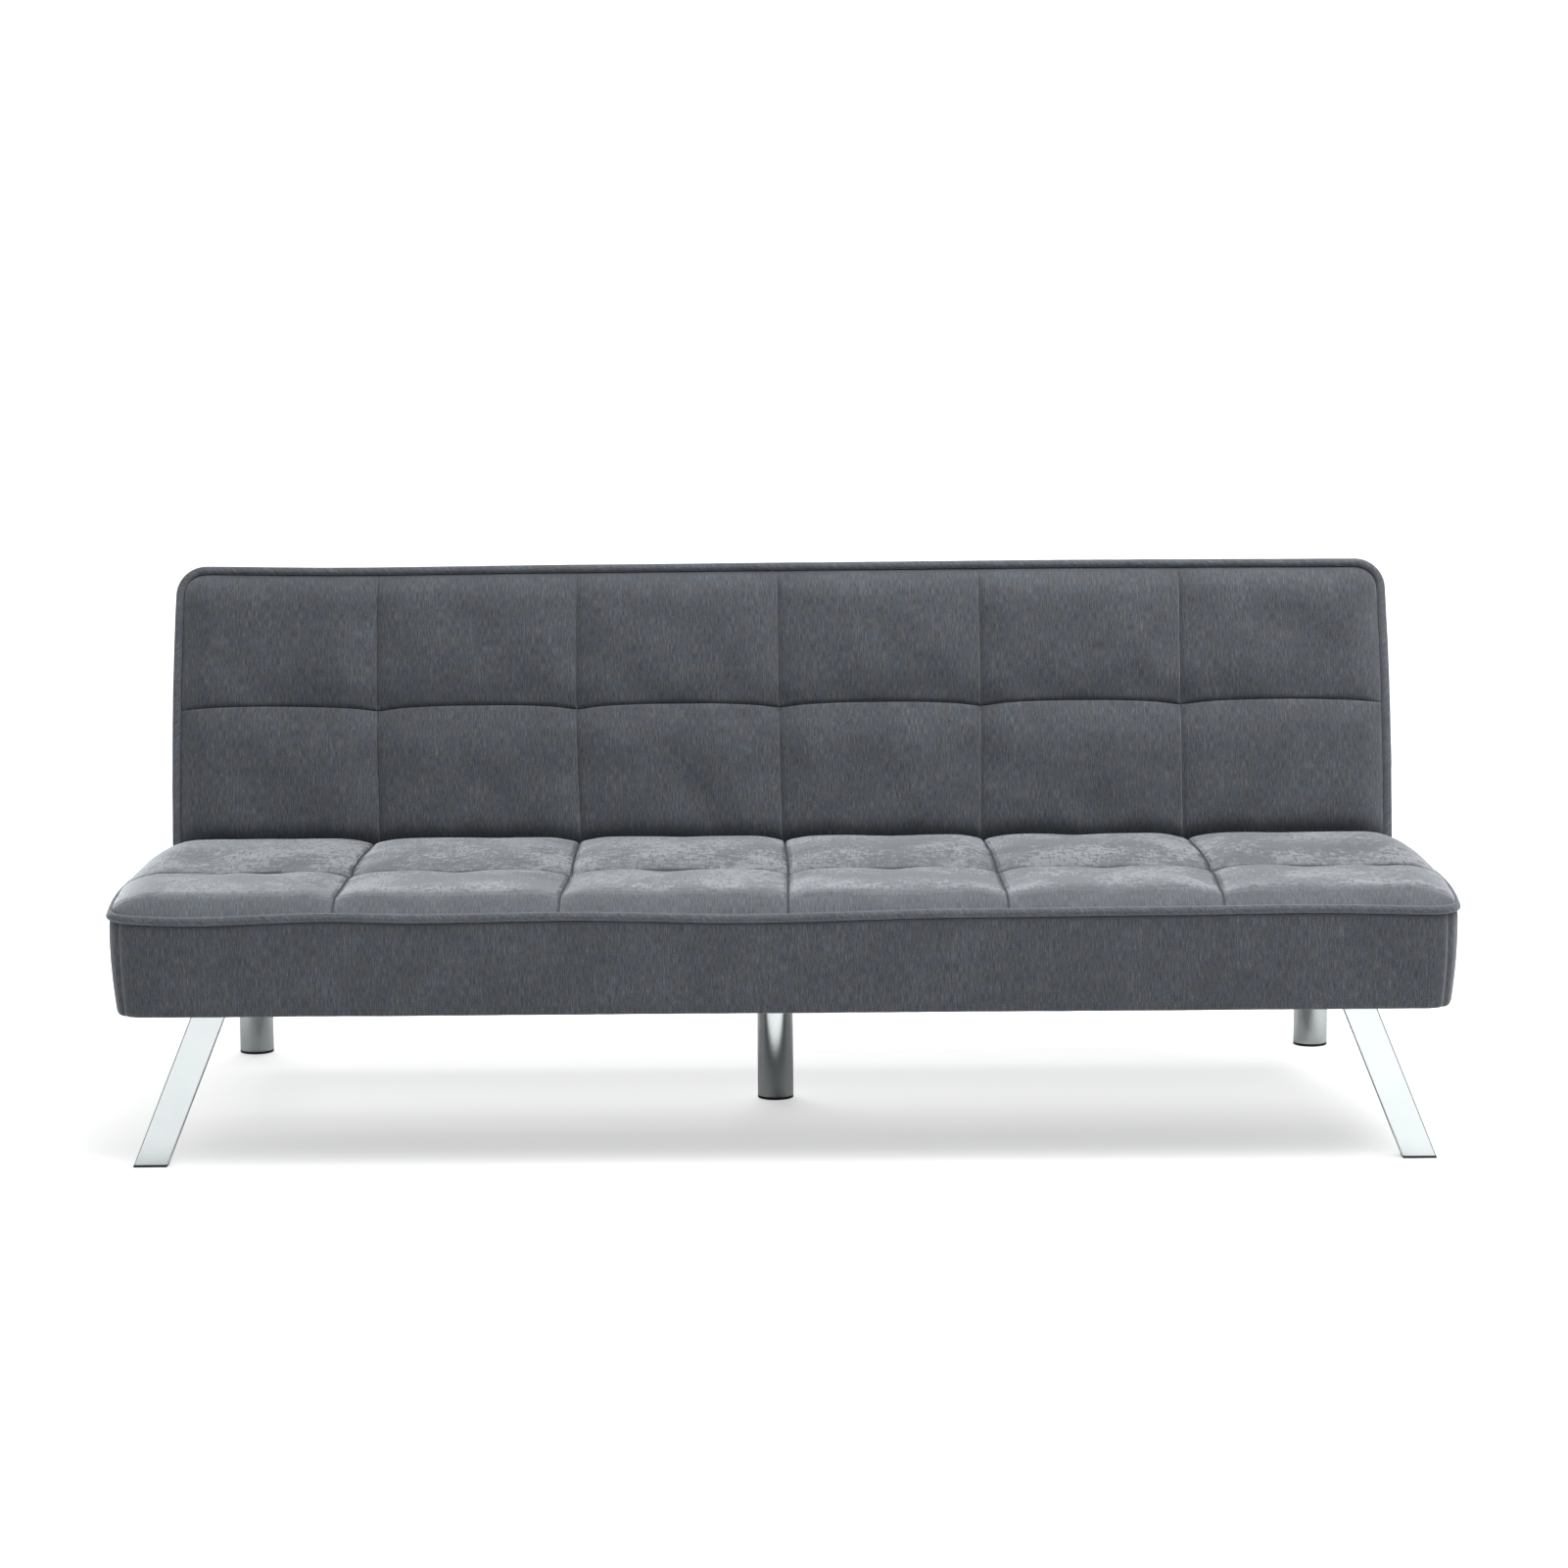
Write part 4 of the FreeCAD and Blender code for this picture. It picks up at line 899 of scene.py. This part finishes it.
def chenille(name, brush_and_sheen_marks=False, tone=1.0, sheen=0.45, haze=0.46, brush_and_sheen_from=0.0):
    """Blue-grey chenille: fine yarns along the cloth and light specks, under a pile that goes pale at a low
    angle. Where people sit, behind the given depth from the front, the pile shows pale brush marks and dark
    dashes. The marks' pattern is the cloth's own; their pale and dark base colours are painted sheen and painted
    shade, scaled by the slant to the eye: strong at a low angle and faint from above."""
    material, shader = new_material(name)
    g = Graph(material)
    cloth = g.stretched("UV", (1, 1, 1))

    yarns = g.noise(g.stretched("UV", (1, 0.10, 1)), 760, detail=2, roughness=0.65)
    slubs = g.noise(g.stretched("UV", (1, 0.05, 1)), 360, detail=1)
    specks = g.noise(cloth, 900, detail=2, roughness=0.75)
    cloudy = g.noise(cloth, 13, detail=4, roughness=0.6)
    dye = g.noise(cloth, 46, detail=5, roughness=0.7)

    dark = (0.034 * tone, 0.037 * tone, 0.044 * tone)
    middle = (0.086 * tone, 0.093 * tone, 0.107 * tone)
    light = (0.225 * tone, 0.234 * tone, 0.250 * tone)
    weave = g.math("ADD", g.math("MULTIPLY", yarns, 0.42), g.math("MULTIPLY", specks, 0.58))
    base = g.mix(g.span(weave, 0.38, 0.55, kind="LINEAR"), dark, middle)
    base = g.mix(g.span(weave, 0.53, 0.70, 0.0, 0.90, "LINEAR"), base, light)
    base = g.mix(g.span(slubs, 0.50, 0.76, 0.0, 0.16), base, light)
    base = g.mix(g.span(cloudy, 0.36, 0.64, 0.0, 0.24), base, dark)
    base = g.mix(1.0, base, g.mix(g.span(dye, 0.35, 0.65), (1.04, 1.00, 0.95), (0.96, 1.0, 1.06)), "MULTIPLY")
    height = g.math("ADD", g.math("MULTIPLY", yarns, 0.6), g.math("MULTIPLY", specks, 0.6))
    normal = g.bump(height, 0.4, 0.0010)
    if brush_and_sheen_marks:
        patch = g.noise(cloth, 9, detail=3, roughness=0.55)
        broken = g.noise(g.stretched("UV", (0.75, 1, 1)), 105, detail=4, roughness=0.68)
        upright = g.noise(g.stretched("UV", (1, 0.16, 1)), 300, detail=2, roughness=0.6)
        where = g.math("ADD", g.math("MULTIPLY", broken, 0.52), g.math("MULTIPLY", patch, 0.55))
        where = g.math("ADD", where, g.math("MULTIPLY", upright, 0.24))
        split = g.node("ShaderNodeSeparateXYZ")
        g.link(cloth, split.inputs["Vector"])
        # the marks, with their painted sheen and painted shade, stop short of the front roll along a ragged line
        ragged = g.math("ADD", split.outputs["Y"], g.math("MULTIPLY", g.math("SUBTRACT", broken, 0.5), 0.090))
        sat_on_and_sheen = g.span(ragged, brush_and_sheen_from - 0.010, brush_and_sheen_from + 0.014)
        # painted sheen and painted shade: the marks' pale and dark base colours fade with the slant to the eye
        slant = g.node("ShaderNodeLayerWeight")
        slant.inputs["Blend"].default_value = 0.5
        sat_on_and_sheen = g.math("MULTIPLY", sat_on_and_sheen, g.span(slant.outputs["Facing"], 0.45, 0.78, 0.28, 1.0))
        mottled = g.math("ADD", g.math("MULTIPLY", broken, 0.5), g.math("MULTIPLY", upright, 0.5))
        # painted sheen: the pale tone of the marks stands in for the sheen of the raised pile at a low angle
        raised_and_sheen = g.mix(g.span(mottled, 0.49, 0.61), (0.250, 0.261, 0.275), (0.045, 0.050, 0.060))
        raised_and_sheen = g.mix(g.span(specks, 0.35, 0.65, 0.0, 0.45), raised_and_sheen, (0.050, 0.054, 0.062))
        share = g.math("MULTIPLY", g.span(where, 0.60, 0.72, 0.94, 0.0, "LINEAR"), sat_on_and_sheen)
        base = g.mix(share, base, raised_and_sheen)
        # the dark dashes: the cloth's own pattern, with painted shade that fades with the slant to the eye
        flattened_and_shade = g.math("MULTIPLY", g.span(where, 0.60, 0.70, kind="LINEAR"), sat_on_and_sheen)
        base = g.mix(g.math("MULTIPLY", flattened_and_shade, 0.90), base, (0.010, 0.012, 0.017))
        normal = g.bump(g.math("MULTIPLY", flattened_and_shade, -1.0), 1.0, 0.0006, normal)
    g.link(base, shader.inputs["Base Color"])
    g.link(g.span(weave, 0.35, 0.65, 0.80, 0.66), shader.inputs["Roughness"])
    g.link(normal, shader.inputs["Normal"])
    shader.inputs["Specular IOR Level"].default_value = 0.15
    shader.inputs["Sheen Weight"].default_value = sheen
    shader.inputs["Sheen Roughness"].default_value = haze
    shader.inputs["Sheen Tint"].default_value = (0.90, 0.945, 1.0, 1)
    return material


def dust_cloth():
    """Black spun-bonded cloth with its pattern of small pressed dots."""
    material, shader = new_material("spunbond_cloth")
    g = Graph(material)
    where = g.stretched("Object", (1, 1, 1))
    cells = g.node("ShaderNodeTexVoronoi")
    cells.inputs["Scale"].default_value = 420
    cells.inputs["Randomness"].default_value = 0.15
    g.link(where, cells.inputs["Vector"])
    dots = g.span(cells.outputs["Distance"], 0.18, 0.34)
    fibres = g.noise(where, 260, detail=4, roughness=0.7)
    g.link(g.mix(fibres, (0.010, 0.010, 0.011), (0.034, 0.034, 0.036)), shader.inputs["Base Color"])
    g.link(g.span(fibres, 0.3, 0.7, 0.62, 0.85), shader.inputs["Roughness"])
    g.link(g.bump(g.math("ADD", dots, fibres), 0.5, 0.0004), shader.inputs["Normal"])
    shader.inputs["Sheen Weight"].default_value = 0.2
    return material


def chrome():
    """Bright plating with the faint haze and streaks of a wiped tube."""
    material, shader = new_material("plated_chrome")
    g = Graph(material)
    streaks = g.noise(g.stretched("Object", (1, 1, 0.06)), 160, detail=3)
    haze = g.noise(g.stretched("Object", (1, 1, 1)), 14, detail=4, roughness=0.6)
    g.link(g.mix(haze, (0.66, 0.70, 0.70), (0.76, 0.80, 0.80)), shader.inputs["Base Color"])
    g.link(g.span(g.math("MULTIPLY", streaks, haze), 0.12, 0.42, 0.03, 0.09), shader.inputs["Roughness"])
    g.link(g.bump(streaks, 0.04, 0.0002), shader.inputs["Normal"])
    shader.inputs["Metallic"].default_value = 1.0
    return material


def grained(name, dark, light, rough, scale, metallic=0.0, strength=0.25, coat=0.0):
    """A mottled surface: a moulded, painted, rolled, felted or foamed one, by its scale and colours."""
    material, shader = new_material(name)
    g = Graph(material)
    where = g.stretched("Object", (1, 1, 1))
    grain = g.noise(where, scale, detail=4, roughness=0.6)
    broad = g.noise(where, scale * 0.06, detail=2)
    shade = g.math("ADD", g.math("MULTIPLY", grain, 0.6), g.math("MULTIPLY", broad, 0.4))
    g.link(g.mix(g.span(shade, 0.30, 0.70), dark, light), shader.inputs["Base Color"])
    g.link(g.span(grain, 0.3, 0.7, rough[0], rough[1]), shader.inputs["Roughness"])
    g.link(g.bump(grain, strength, 0.0006), shader.inputs["Normal"])
    shader.inputs["Metallic"].default_value = metallic
    shader.inputs["Coat Weight"].default_value = coat
    return material


def pine():
    """Planed softwood, with growth rings along the board."""
    material, shader = new_material("planed_pine")
    g = Graph(material)
    where = g.stretched("Object", (0.35, 1, 1))
    rings = g.node("ShaderNodeTexWave", wave_type="RINGS", rings_direction="X")
    rings.inputs["Scale"].default_value = 22
    rings.inputs["Distortion"].default_value = 6
    rings.inputs["Detail"].default_value = 3
    rings.inputs["Detail Scale"].default_value = 1.4
    g.link(where, rings.inputs["Vector"])
    pores = g.noise(g.stretched("Object", (0.05, 1, 1)), 700, detail=2)
    wood = g.mix(rings.outputs["Fac"], (0.62, 0.43, 0.24), (0.42, 0.25, 0.12))
    wood = g.mix(g.span(pores, 0.55, 0.75, 0.0, 0.35), wood, (0.30, 0.17, 0.08))
    g.link(wood, shader.inputs["Base Color"])
    g.link(g.span(pores, 0.3, 0.7, 0.50, 0.72), shader.inputs["Roughness"])
    g.link(g.bump(pores, 0.2, 0.0004), shader.inputs["Normal"])
    return material


def finishes():
    """The material of every slot of the record."""
    return {
        "upholstery": chenille("chenille_plain", tone=0.84),
        "dust_cloth": dust_cloth(),
        "foam": grained("cut_foam", (0.70, 0.66, 0.48), (0.86, 0.83, 0.68), (0.85, 0.95), 500, strength=0.6),
        "wadding": grained("polyester_wadding", (0.70, 0.70, 0.68), (0.92, 0.92, 0.90), (0.9, 1.0), 220,
                           strength=0.8),
        "felt": grained("needled_felt", (0.30, 0.29, 0.27), (0.60, 0.58, 0.55), (0.9, 1.0), 340, strength=0.6),
        "pine": pine(),
        "black_steel": grained("powder_coated_steel", (0.012, 0.012, 0.013), (0.028, 0.028, 0.030),
                               (0.34, 0.52), 900, strength=0.18, coat=0.15),
        "chrome": chrome(),
        "spring_steel": grained("drawn_spring_steel", (0.20, 0.20, 0.21), (0.42, 0.42, 0.44), (0.28, 0.46), 260,
                                metallic=1.0, strength=0.12),
        "zinc": grained("zinc_plate", (0.48, 0.50, 0.52), (0.72, 0.73, 0.74), (0.26, 0.45), 320, metallic=1.0,
                        strength=0.10),
        "black_plastic": grained("moulded_black_plastic", (0.010, 0.010, 0.011), (0.022, 0.022, 0.024),
                                 (0.38, 0.55), 1200, strength=0.15),
        "rubber": grained("black_rubber", (0.012, 0.012, 0.012), (0.030, 0.030, 0.030), (0.70, 0.88), 700,
                          strength=0.25),
        "nylon": grained("white_nylon", (0.70, 0.70, 0.66), (0.84, 0.84, 0.80), (0.35, 0.5), 600,
                         strength=0.08),
        "label_cloth": grained("woven_label", (0.66, 0.64, 0.60), (0.86, 0.85, 0.81), (0.75, 0.9), 1800,
                               strength=0.4),
    }


def coat_with(piece, material):
    piece.data.materials.clear()
    piece.data.materials.append(material)


def finish_cad_nodes(slots):
    for part in frame["record"]["subparts"]:
        node = frame["nodes"][part["node"]]
        if len(node.data.materials) == 0:
            node.data.materials.append(None)
        for index in range(len(node.material_slots)):
            node.material_slots[index].material = slots[part["material_slot"]]


# ---- studio

def add_floor():
    """A pale seamless floor that goes to white with distance, as a lit studio sweep does. The plated legs
    mirror a painted shadow: to reflected rays only, the floor is painted dark under and behind the seat."""
    size = 30.0
    mesh = bpy.data.meshes.new("floor")
    corners = [(-size, -size, 0), (size, -size, 0), (size, size, 0), (-size, size, 0)]
    mesh.from_pydata(corners, [], [(0, 1, 2, 3)])
    floor = bpy.data.objects.new("floor", mesh)
    bpy.context.scene.collection.objects.link(floor)
    material, shader = new_material("studio_floor")
    g = Graph(material)
    where = g.stretched("Object", (1, 1, 1))
    shade = g.noise(where, 0.8, detail=2)
    path = g.node("ShaderNodeLightPath")
    split = g.node("ShaderNodeSeparateXYZ")
    g.link(where, split.inputs["Vector"])
    # painted shadow: to reflected rays only, the floor is dark under and behind the seat
    behind = g.span(split.outputs["Y"], -0.36, 0.04, 0.0, 0.38)
    painted_shadow_in_reflections = g.math("MULTIPLY", path.outputs["Is Glossy Ray"], behind)
    pale = g.mix(shade, (0.86, 0.865, 0.87), (0.885, 0.888, 0.89))
    g.link(g.mix(painted_shadow_in_reflections, pale, (0.02, 0.02, 0.022)), shader.inputs["Base Color"])
    shader.inputs["Roughness"].default_value = 0.75
    shader.inputs["Specular IOR Level"].default_value = 0.2
    distance = g.node("ShaderNodeVectorMath", operation="LENGTH")
    g.link(where, distance.inputs[0])
    shader.inputs["Emission Color"].default_value = (1, 1, 1, 1)
    far = g.span(distance.outputs["Value"], 1.2, 4.5, 0.0, 0.45)
    g.link(g.math("ADD", far, g.math("MULTIPLY", path.outputs["Is Camera Ray"], 0.52)),
           shader.inputs["Emission Strength"])
    coat_with(floor, material)


def add_light(name, place_at, aim, size, power, tint=(1, 1, 1)):
    data = bpy.data.lights.new(name, "AREA")
    data.shape = "RECTANGLE"
    data.size, data.size_y = size
    data.energy = power
    data.color = tint
    lamp = bpy.data.objects.new(name, data)
    lamp.location = place_at
    lamp.rotation_euler = (Vector(aim) - Vector(place_at)).to_track_quat("-Z", "Y").to_euler()
    bpy.context.scene.collection.objects.link(lamp)


def add_world():
    """White to the eye; as a light it is a soft room, brighter overhead than at the sides."""
    world = bpy.data.worlds.new("studio")
    bpy.context.scene.world = world
    world.use_nodes = True
    g = Graph(world)
    g.tree.nodes.clear()
    output = g.node("ShaderNodeOutputWorld")
    seen = g.node("ShaderNodeBackground")
    seen.inputs["Color"].default_value = (1.0, 1.0, 1.0, 1)
    room = g.node("ShaderNodeBackground")
    room.inputs["Strength"].default_value = 0.54
    coordinate = g.node("ShaderNodeTexCoord")
    split = g.node("ShaderNodeSeparateXYZ")
    g.link(coordinate.outputs["Generated"], split.inputs["Vector"])
    ramp = g.node("ShaderNodeValToRGB")
    low_end, high_end = ramp.color_ramp.elements
    low_end.position = 0.0
    low_end.color = (0.62, 0.63, 0.65, 1)
    high_end.position = 0.9
    high_end.color = (1, 1, 1, 1)
    g.link(split.outputs["Z"], ramp.inputs["Fac"])
    g.link(ramp.outputs["Color"], room.inputs["Color"])
    path = g.node("ShaderNodeLightPath")
    mix = g.node("ShaderNodeMixShader")
    g.link(path.outputs["Is Camera Ray"], mix.inputs["Fac"])
    g.link(room.outputs["Background"], mix.inputs[1])
    g.link(seen.outputs["Background"], mix.inputs[2])
    g.link(mix.outputs["Shader"], output.inputs["Surface"])


def add_camera():
    """The studio camera: a long lens in front, a little above the back's top edge."""
    place_at = Vector((-0.007, -5.177, 1.091))
    pitch, yaw, roll = (math.radians(a) for a in (7.168, 0.1035, -0.396))
    ahead = Vector((math.sin(yaw) * math.cos(pitch), math.cos(yaw) * math.cos(pitch), -math.sin(pitch)))
    across = Vector((math.cos(yaw), -math.sin(yaw), 0))
    upward = across.cross(ahead)
    right = across * math.cos(roll) + upward * math.sin(roll)
    up = upward * math.cos(roll) - across * math.sin(roll)
    data = bpy.data.cameras.new("camera")
    data.sensor_width = 36.0
    data.lens = 88.67
    camera = bpy.data.objects.new("camera", data)
    turn = Matrix((right, up, -ahead)).transposed().to_4x4()
    camera.matrix_world = Matrix.Translation(place_at) @ turn
    bpy.context.scene.collection.objects.link(camera)
    bpy.context.scene.camera = camera


def main():
    slots = finishes()
    finish_cad_nodes(slots)
    # painted shade: seat cloth copies with less sheen for the roll and seams, and a darker one in the seam folds
    cloths = [chenille(f"chenille_pile_and_shade_{number}", brush_and_sheen_marks=True, sheen=sheen, haze=0.52,
                       brush_and_sheen_from=SEAT["y0"] + 0.047) for number, sheen in enumerate(PILE_AND_SHADE_SHEENS[:-1])]
    cloths.append(chenille("chenille_seam_shade", tone=0.7, sheen=PILE_AND_SHADE_SHEENS[-1]))
    # painted light: the piping's cloth is a lighter copy of the upholstery chenille, for the light on its top
    lit_piping_cloth = chenille("chenille_piping", tone=1.12)
    make_cushion(SEAT, cloths)
    make_cushion(BACK, (chenille("chenille_back", tone=0.80),))
    for box in (SEAT, BACK):
        coat_with(make_piping(box), lit_piping_cloth)
        coat_with(make_skirt(box), slots["upholstery"])
    for box, node, box_of in ((SEAT, "seat_dust_cover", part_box), (BACK, "back_rear_panel", flat_box)):
        panel, staples = make_under_panel(box, node, box_of)
        coat_with(panel, slots["dust_cloth"])
        coat_with(staples, slots["zinc"])
    coat_with(make_label(), slots["label_cloth"])
    add_floor()
    add_world()
    add_light("overhead", (0.9, -0.9, 3.0), (0, 0.1, 0.35), (3.2, 1.6), 125)
    add_light("behind", (-0.6, 2.6, 2.4), (0, 0.0, 0.35), (3.0, 1.2), 45)
    add_camera()
    bpy.context.scene.view_settings.view_transform = "Standard"


main()
bpy.context.view_layer.update()
